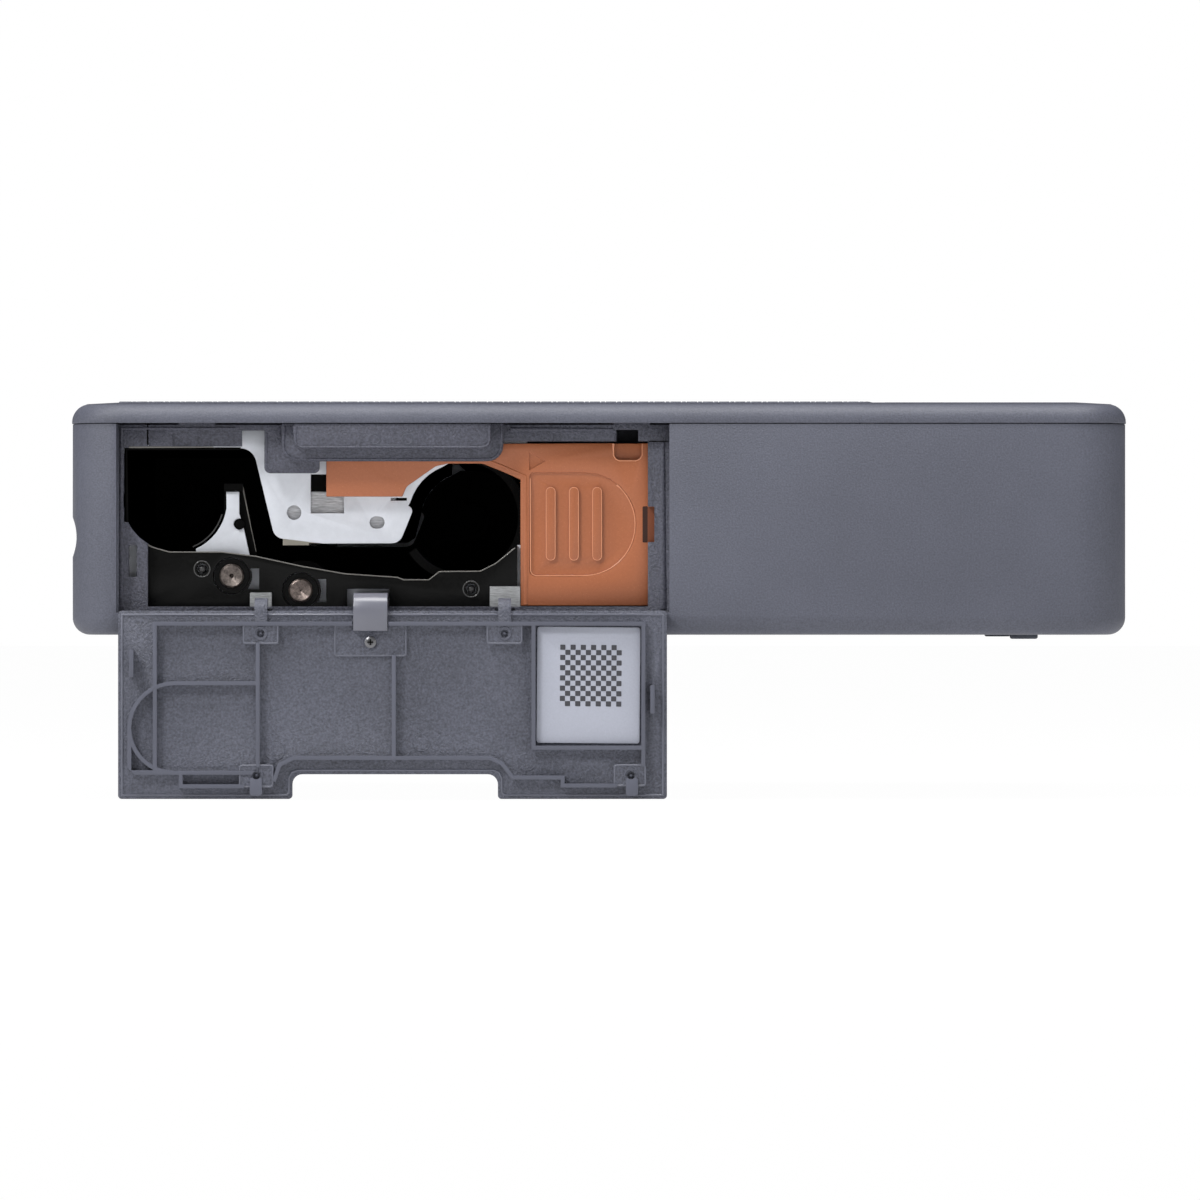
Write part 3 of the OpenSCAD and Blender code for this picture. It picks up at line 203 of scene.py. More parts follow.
def grained_plastic(name, colour, grain, depth, roughness, spread=0.05, smooth_front=None):
    """Moulded plastic with a spark-eroded grain; what stands in front of smooth_front is smooth, and painted
    paler as a painted highlight.
    """
    finish = Finish(name, colour, roughness, specular=0.42)
    lumps = finish.noise(grain, detail=3)
    fine = finish.noise(grain * 0.4, detail=1)
    cloud = finish.noise(14, detail=2)
    tone = finish.ramp(lumps * 0.75 + cloud * 0.25, [(0.3, 0), (0.7, 1)])
    relief = lumps * 0.7 + fine * 0.3
    grainy = finish.varied(tone, spread)
    finish.set("Base Color", grainy)
    finish.set("Roughness", roughness - 0.06 + fine * 0.12)
    if smooth_front is not None:
        y = finish.node("ShaderNodeSeparateXYZ", {}, [finish.place()], output="Y")
        grained = y > smooth_front * MM
        # painted highlight: the smooth faces in front get a paler colour
        rib_top_highlight_colour = tuple(c * RIB_TOP_PAINTED_HIGHLIGHT for c in colour)
        finish.set("Base Color", finish.mix(grained, rib_top_highlight_colour, grainy))
        relief = relief * grained
    return finish.bump(relief, depth).material


def terracotta_plastic():
    finish = Finish("terracotta_plastic", srgb(170, 100, 65), 0.42, specular=0.45)
    lumps = finish.noise(0.35, detail=2)
    flakes = finish.cells(0.32)
    glint = finish.ramp(flakes, [(0.0, 1), (0.16, 0)])
    base = finish.mix(lumps, srgb(152, 88, 55), srgb(167, 99, 64))
    finish.set("Base Color", finish.mix(glint * 0.4, base, srgb(232, 165, 122)))
    finish.set("Roughness", 0.46 - glint * 0.2)
    return finish.bump(lumps, 0.018).material


def black_plastic(name, level, roughness, depth, specular=0.3):
    finish = Finish(name, (level, level, level * 0.97), roughness, specular=specular)
    lumps = finish.noise(0.5, detail=2)
    finish.shade(lumps, 0.15)
    finish.set("Roughness", roughness - 0.08 + lumps * 0.16)
    return finish.bump(lumps, depth).material


def coated_steel():
    """Pale zinc-coated sheet with a faint mottle."""
    finish = Finish("coated_steel", srgb(207, 210, 217), 0.42, metallic=0.25)
    mottle = finish.noise(1.6, detail=4, rough=0.65)
    grain = finish.noise(0.3, detail=2)
    finish.shade(finish.ramp(mottle, [(0.3, 0), (0.7, 1)]), 0.045)
    finish.set("Roughness", 0.36 + grain * 0.14)
    return finish.bump(grain * 0.6 + mottle * 0.4, 0.012).material


def brushed_metal(name, colour, roughness, along=(1, 12, 12)):
    """Bare metal with fine lines along one axis."""
    finish = Finish(name, colour, roughness, metallic=0.9)
    lines = finish.noise(1.2, detail=3, place=finish.stretched(along))
    finish.shade(finish.ramp(lines, [(0.3, 0), (0.7, 1)]), 0.22)
    finish.set("Roughness", roughness - 0.08 + lines * 0.16)
    return finish.bump(lines, 0.02).material


def scratched_metal(name, colour, roughness):
    """Bare metal ground by hand: fine lines in two crossing directions."""
    finish = Finish(name, colour, roughness, metallic=0.9)
    one = finish.noise(1.0, detail=3, place=finish.stretched((0.9, 1, 9), turn=(0, 0.7, 0)))
    two = finish.noise(1.0, detail=3, place=finish.stretched((0.9, 1, 9), turn=(0, -0.5, 0)))
    lines = one * 0.6 + two * 0.4
    finish.shade(finish.ramp(lines, [(0.35, 0), (0.65, 1)]), 0.35)
    finish.set("Roughness", roughness - 0.1 + lines * 0.2)
    return finish.bump(lines, 0.04).material


def turned_metal(name, colour, roughness, centre):
    """Turned shaft with rings round its axis, which runs along Y at the given X and Z."""
    finish = Finish(name, colour, roughness, metallic=0.85)
    place = finish.stretched((1, 0, 1), centre=(-centre[0] * MM, 0, -centre[1] * MM))
    radius = finish.node("ShaderNodeVectorMath", {"operation": "LENGTH"}, [place], output="Value")
    rings = finish.node("ShaderNodeMath", {"operation": "SINE"}, [radius * (math.tau / (RING_PITCH * MM))])
    stain = finish.noise(0.45, detail=5, rough=0.75)
    finish.shade(finish.ramp(stain, [(0.36, 0), (0.66, 1)]), 0.55)
    finish.set("Roughness", roughness - 0.1 + stain * 0.22)
    return finish.bump(rings * 0.4 + stain * 0.6, 0.03).material


def silver_foil():
    finish = Finish("silver_foil", srgb(163, 166, 178), 0.5, metallic=0.25)
    speck = finish.noise(0.22, detail=2)
    broad = finish.noise(9, detail=2)
    finish.shade(finish.ramp(speck * 0.7 + broad * 0.3, [(0.3, 0), (0.7, 1)]), 0.05)
    finish.set("Roughness", 0.44 + speck * 0.12)
    return finish.bump(speck, 0.008).material


def rubber(name, colour, grain):
    finish = Finish(name, colour, 0.75, specular=0.3)
    lumps = finish.noise(grain, detail=3)
    finish.shade(lumps, 0.12)
    finish.set("Roughness", 0.68 + lumps * 0.16)
    return finish.bump(lumps, 0.02).material


def smooth_plastic(name, colour, roughness, coat=0.0):
    finish = Finish(name, colour, roughness, coat=coat, specular=0.4)
    haze = finish.noise(3, detail=2)
    finish.shade(haze, 0.04)
    finish.set("Roughness", roughness - 0.04 + haze * 0.08)
    return finish.bump(finish.noise(0.4), 0.004).material


def circuit_board():
    """Solder resist with a regular weave of tracks under it."""
    finish = Finish("circuit_board", (0.015, 0.11, 0.055), 0.35)
    tracks = finish.node("ShaderNodeTexBrick", {}, {"Vector": finish.place(), "Scale": 260.0,
                         "Color1": (0.4, 0.4, 0.4, 1), "Color2": (0.6, 0.6, 0.6, 1),
                         "Mortar": (1, 1, 1, 1)})
    finish.set("Base Color", finish.mix(tracks * 0.6, (0.01, 0.09, 0.045), (0.03, 0.2, 0.1)))
    return finish.bump(tracks, 0.01).material


SLATE = srgb(75, 77, 88)
finishes = {
    "case_slate": grained_plastic("case_slate", SLATE, 0.24, 0.07, 0.54, 0.24),
    "lid_slate": grained_plastic("lid_slate", SLATE, 0.24, 0.05, 0.54, 0.2),
    "frame_slate": grained_plastic("frame_slate", srgb(69, 70, 81), 0.3, 0.2, 0.5, 0.45),
    # the cover's rib tops, in front of -53.68 mm, are smooth and carry a painted highlight
    "cover_slate": grained_plastic("cover_slate", srgb(74, 76, 87), 0.3, 0.2, 0.52, 0.42,
                                   smooth_front=-53.68),
    "button_grey": grained_plastic("button_grey", srgb(84, 86, 98), 0.2, 0.02, 0.45, 0.03),
    "tray_grey": grained_plastic("tray_grey", srgb(66, 68, 78), 0.25, 0.03, 0.5, 0.05),
    "strap_grey": smooth_plastic("strap_grey", srgb(98, 99, 108), 0.3, coat=0.15),
    "plate_steel": coated_steel(),
    "guide_black": black_plastic("guide_black", 0.0026, 0.36, 0.03, specular=0.16),
    "liner_black": black_plastic("liner_black", 0.0006, 0.5, 0.006, specular=0.08),
    "ceramic": smooth_plastic("ceramic", (0.6, 0.56, 0.47), 0.2, coat=0.4),
    "heat_sink_alu": scratched_metal("heat_sink_alu", (0.62, 0.62, 0.64), 0.4),
    "board_green": circuit_board(),
    "chip_black": smooth_plastic("chip_black", (0.02, 0.02, 0.022), 0.4),
    "battery_wrap": smooth_plastic("battery_wrap", (0.05, 0.06, 0.08), 0.3, coat=0.3),
    "port_steel": brushed_metal("port_steel", (0.5, 0.5, 0.52), 0.3),
    "motor_steel": brushed_metal("motor_steel", (0.45, 0.45, 0.46), 0.35, (12, 1, 12)),
    "shaft_steel": brushed_metal("shaft_steel", (0.5, 0.49, 0.47), 0.3, (12, 1, 12)),
    "capstan_nickel": turned_metal("capstan_nickel", (0.2, 0.17, 0.155), 0.36, CAPSTAN),
    "platen_nickel": turned_metal("platen_nickel", (0.24, 0.195, 0.175), 0.32, PLATEN),
    "pin_grey": smooth_plastic("pin_grey", (0.045, 0.045, 0.046), 0.3),
    # painted highlight: a black paler than the guide's, for the sheen on rings and lips
    "black_painted_sheen": smooth_plastic("black_painted_sheen", (0.05, 0.05, 0.05), 0.2, coat=0.5),
    # painted highlight: a pale grey for beads that stand for light along dark edges
    "painted_edge_highlight": smooth_plastic("painted_edge_highlight", srgb(104, 102, 98), 0.3, coat=0.3),
    # painted highlight: a pale terracotta for the lit edges of the lever
    "lever_painted_highlight": smooth_plastic("lever_painted_highlight", srgb(205, 138, 103), 0.3, coat=0.3),
    # painted shadow: a near-black brown for the lever's stop pocket
    "lever_painted_shadow": smooth_plastic("lever_painted_shadow", srgb(52, 25, 14), 0.5),
    # painted shade: a darker terracotta for the recessed tab in shadow
    "lever_painted_shade": smooth_plastic("lever_painted_shade", srgb(118, 62, 35), 0.5),
    # painted highlight: a slate paler than the cover, for lit edges of the lip and pads
    "slate_painted_highlight": smooth_plastic("slate_painted_highlight", srgb(88, 90, 101), 0.34, coat=0.15),
    "keeper_steel": scratched_metal("keeper_steel", (0.5, 0.51, 0.52), 0.42),
    "roller_nickel": brushed_metal("roller_nickel", (0.26, 0.23, 0.21), 0.3, (12, 1, 12)),
    "lens": smooth_plastic("lens", (0.7, 0.73, 0.75), 0.15, coat=0.5),
    "foot_rubber": rubber("foot_rubber", srgb(59, 62, 70), 0.3),
    "screw_steel": brushed_metal("screw_steel", (0.2, 0.2, 0.21), 0.35),
    "spring_steel": brushed_metal("spring_steel", (0.5, 0.5, 0.5), 0.3),
    "label_silver": silver_foil(),
    "label_ink": smooth_plastic("label_ink", srgb(58, 58, 63), 0.5),
    "lever_terracotta": terracotta_plastic(),
    "roller_rubber": rubber("roller_rubber", (0.012, 0.012, 0.013), 0.2),
    "gear_white": smooth_plastic("gear_white", (0.68, 0.67, 0.62), 0.35),
    "pinion_brass": brushed_metal("pinion_brass", (0.6, 0.42, 0.16), 0.3, (12, 1, 12)),
}


# ---- mesh helpers ----
def piece(name, mesh, body, finish, replaces=(), smooth=32):
    """A finished piece at the origin, on its body."""
    made = bpy.data.objects.new(name, mesh)
    bpy.context.scene.collection.objects.link(made)
    if not mesh.materials:
        mesh.materials.append(finishes[finish])
    for face in mesh.polygons:
        face.use_smooth = True
    mesh.set_sharp_from_angle(angle=math.radians(smooth))
    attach(made, body)
    if replaces:
        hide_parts(*replaces)
    return made


def baked(made):
    """The object's mesh with its modifiers applied."""
    graph = bpy.context.evaluated_depsgraph_get()
    mesh = bpy.data.meshes.new_from_object(made.evaluated_get(graph), depsgraph=graph)
    made.modifiers.clear()
    return mesh


def softened(node, width, finish, name=None, angle=30, segments=2, clamp=True):
    """A copy of a CAD node with its edges rounded by width millimetres; it stands for the node."""
    source = frame["nodes"][node]
    mesh = source.data.copy()
    shape = bmesh.new()
    shape.from_mesh(mesh)
    bmesh.ops.remove_doubles(shape, verts=shape.verts, dist=2e-6)
    bmesh.ops.dissolve_degenerate(shape, edges=shape.edges, dist=1e-6)
    bmesh.ops.dissolve_limit(shape, angle_limit=math.radians(0.6), verts=shape.verts, edges=shape.edges)
    shape.to_mesh(mesh)
    shape.free()
    mesh.materials.clear()
    mesh.materials.append(finishes[finish])
    copy = bpy.data.objects.new(f"{node}_work", mesh)
    bpy.context.scene.collection.objects.link(copy)
    bevel = copy.modifiers.new("edge", "BEVEL")
    bevel.width = width * MM
    bevel.segments = segments
    bevel.limit_method = "ANGLE"
    bevel.angle_limit = math.radians(angle)
    bevel.use_clamp_overlap = clamp
    bevel.harden_normals = False
    final = baked(copy)
    bpy.data.objects.remove(copy)
    return piece(name or f"{node}_soft", final, body_of(node), finish, (node,))


def body_of(node):
    for body, nodes in record["behaviour"]["bodies"].items():
        if node in nodes:
            return body
    raise KeyError(node)


def lathe(profile, centre, steps=48):
    """Closed shape turned round an axis along Y: profile is (radius, y) in millimetres, pole to pole."""
    shape = bmesh.new()
    rings = []
    for radius, y in profile:
        if radius == 0:
            rings.append([shape.verts.new(mm(centre[0], y, centre[1]))])
            continue
        rings.append([shape.verts.new(mm(centre[0] + radius * math.cos(math.tau * k / steps), y,
                                         centre[1] + radius * math.sin(math.tau * k / steps)))
                      for k in range(steps)])
    for a, b in zip(rings, rings[1:]):
        for k in range(steps):
            corners = [a[k % len(a)], a[(k + 1) % len(a)], b[(k + 1) % len(b)], b[k % len(b)]]
            corners = list(dict.fromkeys(corners))
            if len(corners) > 2:
                shape.faces.new(corners)
    bmesh.ops.recalc_face_normals(shape, faces=shape.faces)
    mesh = bpy.data.meshes.new("lathe")
    shape.to_mesh(mesh)
    shape.free()
    return mesh


def prism(outline, y0, y1, holes=()):
    """Closed slab with its outline in X and Z millimetres, from y0 to y1."""
    shape = bmesh.new()
    loops = []
    for points in (outline, *holes):
        loop = [shape.verts.new(mm(x, y0, z)) for x, z in points]
        edges = [shape.edges.new((loop[i - 1], loop[i])) for i in range(len(loop))]
        loops.append(edges)
    faces = bmesh.ops.triangle_fill(shape, edges=[e for loop in loops for e in loop],
                                    use_beauty=True)["geom"]
    faces = [f for f in faces if isinstance(f, bmesh.types.BMFace)]
    pushed = bmesh.ops.extrude_face_region(shape, geom=faces)["geom"]
    bmesh.ops.translate(shape, vec=mm(0, y1 - y0, 0),
                        verts=[v for v in pushed if isinstance(v, bmesh.types.BMVert)])
    bmesh.ops.recalc_face_normals(shape, faces=shape.faces)
    mesh = bpy.data.meshes.new("prism")
    shape.to_mesh(mesh)
    shape.free()
    return mesh


def arc(centre, radius, start, end, steps):
    return [(centre[0] + radius * math.cos(math.radians(start + (end - start) * k / steps)),
             centre[1] + radius * math.sin(math.radians(start + (end - start) * k / steps)))
            for k in range(steps + 1)]


def round_box(x0, x1, z0, z1, radius, steps=4):
    corners = [((x1 - radius, z1 - radius), 0), ((x0 + radius, z1 - radius), 90),
               ((x0 + radius, z0 + radius), 180), ((x1 - radius, z0 + radius), 270)]
    return [point for centre, turn in corners for point in arc(centre, radius, turn, turn + 90, steps)]


def row_tree():
    """Geometry nodes that repeat the piece that they are put on along a line or a grid."""
    tree = bpy.data.node_groups.new("repeat_in_rows", "GeometryNodeTree")
    face = tree.interface
    face.new_socket("Geometry", in_out="INPUT", socket_type="NodeSocketGeometry")
    for name, kind in (("Count", "NodeSocketInt"), ("Pitch", "NodeSocketVector"),
                       ("Rows", "NodeSocketInt"), ("Row pitch", "NodeSocketVector"),
                       ("Stagger", "NodeSocketVector"), ("Finish", "NodeSocketMaterial")):
        face.new_socket(name, in_out="INPUT", socket_type=kind)
    face.new_socket("Geometry", in_out="OUTPUT", socket_type="NodeSocketGeometry")
    nodes, link = tree.nodes, tree.links.new
    start, end = nodes.new("NodeGroupInput"), nodes.new("NodeGroupOutput")
    line, rows = nodes.new("GeometryNodeMeshLine"), nodes.new("GeometryNodeMeshLine")
    copies, all_rows = (nodes.new("GeometryNodeInstanceOnPoints") for _ in range(2))
    real, real_rows = (nodes.new("GeometryNodeRealizeInstances") for _ in range(2))
    shift, index = nodes.new("GeometryNodeSetPosition"), nodes.new("GeometryNodeInputIndex")
    odd, move = nodes.new("ShaderNodeMath"), nodes.new("ShaderNodeVectorMath")
    odd.operation, move.operation = "MODULO", "SCALE"
    odd.inputs[1].default_value = 2
    dress = nodes.new("GeometryNodeSetMaterial")
    link(start.outputs["Count"], line.inputs["Count"])
    link(start.outputs["Pitch"], line.inputs["Offset"])
    link(line.outputs["Mesh"], copies.inputs["Points"])
    link(start.outputs["Geometry"], copies.inputs["Instance"])
    link(copies.outputs["Instances"], real.inputs["Geometry"])
    link(start.outputs["Rows"], rows.inputs["Count"])
    link(start.outputs["Row pitch"], rows.inputs["Offset"])
    link(index.outputs["Index"], odd.inputs[0])
    link(start.outputs["Stagger"], move.inputs[0])
    link(odd.outputs[0], move.inputs["Scale"])
    link(rows.outputs["Mesh"], shift.inputs["Geometry"])
    link(move.outputs["Vector"], shift.inputs["Offset"])
    link(shift.outputs["Geometry"], all_rows.inputs["Points"])
    link(real.outputs["Geometry"], all_rows.inputs["Instance"])
    link(all_rows.outputs["Instances"], real_rows.inputs["Geometry"])
    link(real_rows.outputs["Geometry"], dress.inputs["Geometry"])
    link(start.outputs["Finish"], dress.inputs["Material"])
    link(dress.outputs["Geometry"], end.inputs["Geometry"])
    return tree


ROWS = row_tree()


def repeated(mesh, finish, count, pitch, rows=1, row_pitch=(0, 0, 0), stagger=(0, 0, 0)):
    """The mesh repeated by geometry nodes, as one plain mesh."""
    work = bpy.data.objects.new("repeat_work", mesh)
    bpy.context.scene.collection.objects.link(work)
    rule = work.modifiers.new("rows", "NODES")
    rule.node_group = ROWS
    values = {"Count": count, "Pitch": mm(*pitch), "Rows": rows, "Row pitch": mm(*row_pitch),
              "Stagger": mm(*stagger), "Finish": finishes[finish]}
    for item in ROWS.interface.items_tree:
        if item.in_out == "INPUT" and item.name in values:
            rule[item.identifier] = values[item.name]
    made = baked(work)
    bpy.data.objects.remove(work)
    return made


# ---- faces towards the viewer that carry trim, as places along Y in millimetres ----
SIDE_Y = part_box("bottom_case")[0][1] / MM
COVER_FACE_Y = -52.7
STRAP_PAD_Y = -53.0
PAD_FACE_Y = -53.6
TAB_FACE_Y = -50.9
TAB_STEP_Y = -49.6
FRAME_FACE_Y = -48.5
GUIDE_FACE_Y = -47.1
LEVER_FACE_Y = -46.9
SHAFT_END_Y = -46.58

# ---- casing and frames ----
softened("bottom_case", 0.12, "case_slate")
softened("top_case", 0.1, "case_slate")
softened("paper_lid", 0.06, "lid_slate", angle=20, segments=1)
softened("side_frame", 0.1, "frame_slate")
softened("top_frame", 0.16, "frame_slate")
softened("chassis_near", 0.07, "plate_steel", clamp=False)
softened("cassette_guide", 0.09, "guide_black")
softened("eject_lever", 0.11, "lever_terracotta", clamp=False)
softened("ink_cover", 0.1, "cover_slate")
softened("cover_strap", 0.12, "strap_grey")
softened("rubber_feet", 0.1, "foot_rubber")
softened("power_button", 0.15, "button_grey")


# ---- turned shaft ends ----
def turned_shaft(node, centre, radius, y_end, hole, finish):
    """Shaft with a chamfered end and a centre hole, in place of the plain one."""
    y = SHAFT_END_Y
    profile = [(0, y + 0.9), (hole * 0.6, y + 0.5), (hole, y + 0.06), (hole + 0.1, y + 0.03),
               (radius * 0.62, y + 0.03), (radius * 0.66, y), (radius * 0.86, y),
               (radius, y + 0.22), (radius, y_end), (0, y_end)]
    return piece(f"{node}_turned", lathe(profile, centre), body_of(node), finish,
                 (node,), smooth=28)


turned_shaft("capstan_shaft", CAPSTAN, radius=1.7, y_end=44.45, hole=0.32, finish="capstan_nickel")
turned_shaft("platen_shaft", PLATEN, radius=1.65, y_end=41.95, hole=0.12, finish="platen_nickel")


# ---- low trim: beads, marks and small screws ----
def bead(path, width, height, face_y, closed=False):
    """A low rounded bead along a line of X and Z points, on a face that looks towards -Y."""
    profile = [(-0.5, 0.04), (-0.32, -0.7), (0, -1), (0.32, -0.7), (0.5, 0.04)]
    shape = bmesh.new()
    rings, count = [], len(path)
    for k, point in enumerate(path):
        before = Vector(path[k - 1]) if closed or k else Vector(point)
        after = Vector(path[(k + 1) % count]) if closed or k < count - 1 else Vector(point)
        here = Vector(point)
        one, two = (here - before), (after - here)
        one, two = (one or two).normalized(), (two or one).normalized()
        along = (one + two).normalized()
        across = Vector((along.y, -along.x)) / max(0.5, along.dot(one))
        rings.append([shape.verts.new(mm(here.x + across.x * side * width, face_y + up * height,
                                         here.y + across.y * side * width)) for side, up in profile])
    pairs = list(zip(rings, rings[1:])) + ([(rings[-1], rings[0])] if closed else [])
    for a, b in pairs:
        for k in range(len(profile)):
            n = (k + 1) % len(profile)
            shape.faces.new([a[k], a[n], b[n], b[k]])
    if not closed:
        shape.faces.new(rings[0])
        shape.faces.new(rings[-1][::-1])
    bmesh.ops.recalc_face_normals(shape, faces=shape.faces)
    mesh = bpy.data.meshes.new("bead")
    shape.to_mesh(mesh)
    shape.free()
    return mesh


def circle(centre, radius, steps=28):
    return arc(centre, radius, 0, 360 - 360 / steps, steps - 1)


def joined(meshes):
    """One mesh of several."""
    shape = bmesh.new()
    for mesh in meshes:
        shape.from_mesh(mesh)
    made = bpy.data.meshes.new("joined")
    shape.to_mesh(made)
    shape.free()
    return made


def turned_by(mesh, degrees, centre):
    """The mesh turned in the X-Z plane about a point."""
    middle = mm(centre[0], 0, centre[1])
    mesh.transform(Matrix.Translation(middle) @ Matrix.Rotation(math.radians(degrees), 4, "Y")
                   @ Matrix.Translation(-middle))
    return mesh


# the cover's lip runs just inside its outline and round the notch for the tab
LIP = 0.55
CORNER = 0.3
NOTCH_CORNER = 1.1
left, right = -66.15 + LIP, 9.35 - LIP
low, high = -21.97 + LIP, 3.93 - LIP
notch_left, notch_right = -42.1 - LIP, -13.9 + LIP
notch_top = -18.57 + LIP
lip_path = [(left, high), (left, low),
            (notch_left - CORNER, low), (notch_left, low + CORNER),
            (notch_left, notch_top - NOTCH_CORNER), (notch_left + 0.35, notch_top - 0.3),
            (notch_left + NOTCH_CORNER, notch_top), (notch_right - NOTCH_CORNER, notch_top),
            (notch_right - 0.35, notch_top - 0.3), (notch_right, notch_top - NOTCH_CORNER),
            (notch_right, low + CORNER), (notch_right + CORNER, low),
            (right, low), (right, high)]
# painted highlight: the lip bead is paler than the cover
piece("cover_lip", bead(lip_path, 0.3, 0.13, COVER_FACE_Y, closed=True), "ink_cover",
      "slate_painted_highlight", smooth=60)

# faint rounds that the mould's ejector pins left: centre in X and Z, and radius
marks = [((-44.6, -15.3), 1.35), ((-24.4, -14.2), 1.2), ((-11.2, -2.9), 1.2), ((-9.9, -16.9), 1.2),
         ((8.0, -19.6), 0.7)]
piece("mould_marks", joined([bead(circle(c, r), 0.2, 0.035, COVER_FACE_Y, True) for c, r in marks]),
      "ink_cover", "cover_slate", smooth=60)

# raised pads of the fingers and catches, with a ring and a pin in each, and the pad of the strap; the beads
# round the pads are paler, a painted highlight along their edges
FINGER_X = (-46.5, -12.98)
bosses = [(FINGER_X[0], 0.8), (FINGER_X[1], 0.8), (-47.1, -18.7), (4.4, -18.7)]
ring_parts = [bead(circle(c, 0.85), 0.26, 0.1, PAD_FACE_Y, True) for c in bosses]
ring_parts += [lathe([(0, PAD_FACE_Y + 0.05), (0.16, PAD_FACE_Y + 0.05), (0.24, PAD_FACE_Y + 0.2),
                      (0.24, PAD_FACE_Y + 0.5), (0, PAD_FACE_Y + 0.5)], c, 12) for c in bosses]
pads = [(x - 2.35, x + 2.35, -0.55, 2.05) for x in FINGER_X]
pads += [(-49.35, -44.85, -20.25, -17.35), (2.15, 6.35, -20.1, -17.3)]
pad_highlight_beads = [bead(round_box(*pad, 0.3, 2), 0.24, 0.1, PAD_FACE_Y, True) for pad in pads]
strap_pad = round_box(-36.3, -26.55, -2.25, 2.0, 0.3, 2)
pad_highlight_beads.append(bead(strap_pad, 0.24, 0.1, STRAP_PAD_Y, True))
# painted highlight: paler beads round the pads
piece("pad_edge_highlights", joined(pad_highlight_beads), "ink_cover",
      "slate_painted_highlight", smooth=60)
piece("boss_rings", joined(ring_parts), "ink_cover", "cover_slate", smooth=50)

# screw of the strap: domed head with a shallow round recess; its cross recess is two black bars, painted
# shade
SCREW = (-31.43, -0.4)
head = lathe([(0, STRAP_PAD_Y - 0.2), (0.3, STRAP_PAD_Y - 0.2), (0.36, STRAP_PAD_Y - 0.34),
              (0.62, STRAP_PAD_Y - 0.31), (0.79, STRAP_PAD_Y - 0.18), (0.79, STRAP_PAD_Y - 0.02),
              (0, STRAP_PAD_Y - 0.02)], SCREW, 32)
cross_shade_bars = [prism(round_box(-0.42, 0.42, -0.09, 0.09, 0.03, 2), STRAP_PAD_Y - 0.36, STRAP_PAD_Y - 0.26)]
cross_shade_bars[0].transform(Matrix.Translation(mm(SCREW[0], 0, SCREW[1])))
cross_shade_bars.append(turned_by(cross_shade_bars[0].copy(), 90, SCREW))
piece("strap_screw_head", head, "ink_cover", "screw_steel", ("strap_screw",), smooth=40)
# painted shade: black bars where the cross recess lies in shadow
piece("strap_screw_cross_painted_shade", joined(cross_shade_bars), "ink_cover", "guide_black")
piece("strap_vent", joined([bead(circle((SCREW[0], 0.55), 0.3, 16), 0.14, 0.05, STRAP_PAD_Y, True),
                            bead(circle(SCREW, 1.05), 0.16, 0.06, STRAP_PAD_Y, True)]),
      "ink_cover", "cover_slate", smooth=60)

# label: thin foil plate, very slightly askew, printed with a plain regular grid
LABEL = (-1.45, -6.4)
ASKEW = 0.5
CELLS = 6
CELL = 0.705
PRINT_X, PRINT_Z = -5.37, -0.77
PRINT_Y, PRINT_T = -52.985, 0.04
label = softened("label_plate", 0.05, "label_silver")
turned_by(label.data, ASKEW, LABEL)
square = prism(round_box(PRINT_X, PRINT_X + CELL, PRINT_Z - 0.7, PRINT_Z, 0.05, 1),
               PRINT_Y, PRINT_Y + PRINT_T)
grid = repeated(square, "label_ink", CELLS, (2 * CELL, 0, 0), 2 * CELLS, (0, 0, -CELL), (CELL, 0, 0))
piece("label_grid", turned_by(grid, ASKEW, LABEL), "ink_cover", "label_ink")

# beads, seams and painted highlights along edges round the cassette opening
piece("frame_beads", joined([
    bead([(-65.95, 4.4), (-65.95, 29.1), (-50.2, 29.1)], 0.4, 0.2, FRAME_FACE_Y),
    bead([(-12.2, 28.95), (1.9, 28.95)], 0.34, 0.16, FRAME_FACE_Y),
    bead([(8.83, 4.2), (8.83, 27.1)], 0.55, 0.22, FRAME_FACE_Y),
    bead([(-45.9, 28.4), (-45.9, 23.6), (-45.3, 23.1), (-39.2, 23.1)], 0.22, 0.08, FRAME_FACE_Y)]),
    "root", "frame_slate", smooth=60)
seams = [(-62.4, -62.21, 26.8, 29.75), (6.9, 9.3, 27.22, 27.37)]
piece("frame_seams", joined([prism(round_box(*seam, 0.02, 1), FRAME_FACE_Y - 0.02, FRAME_FACE_Y + 0.2)
                             for seam in seams]),
      "root", "liner_black")
# painted highlight: a pale bead along the top of the well
piece("well_edge_bead", bead([(-64.9, 26.5), (-53.2, 26.5)], 0.13, 0.05, FRAME_FACE_Y + 0.02), "root",
      "painted_edge_highlight", smooth=60)
WELL_TOP = [(-65.5, 16.2), (-65.5, 26.35), (-49.6, 26.35)]
LINER_FACE_Y = -45.12
piece("well_lining", bead(WELL_TOP, 0.36, 0.1, LINER_FACE_Y), "root", "liner_black",
      smooth=60)

# lever: raised border, and painted highlights: pale beads along the edges of the thumb recess, the grip ribs
# and the latch pocket
BORDER = [(-10.1, 4.8), (-10.1, 22.5), (-13.1, 23.85), (-16.1, 25.0), (-19.5, 25.05)]
piece("lever_border", bead(BORDER, 0.3, 0.09, LEVER_FACE_Y), "eject_lever", "lever_terracotta",
      smooth=60)
THUMB_CENTRE = (-2.1, 15.87)
THUMB_R = 7.1
GRIP_RIBS = 3
GRIP_X0 = -7.32
GRIP_PITCH = 3.21
GRIP_W = 1.3
GRIP_INSET = 0.03
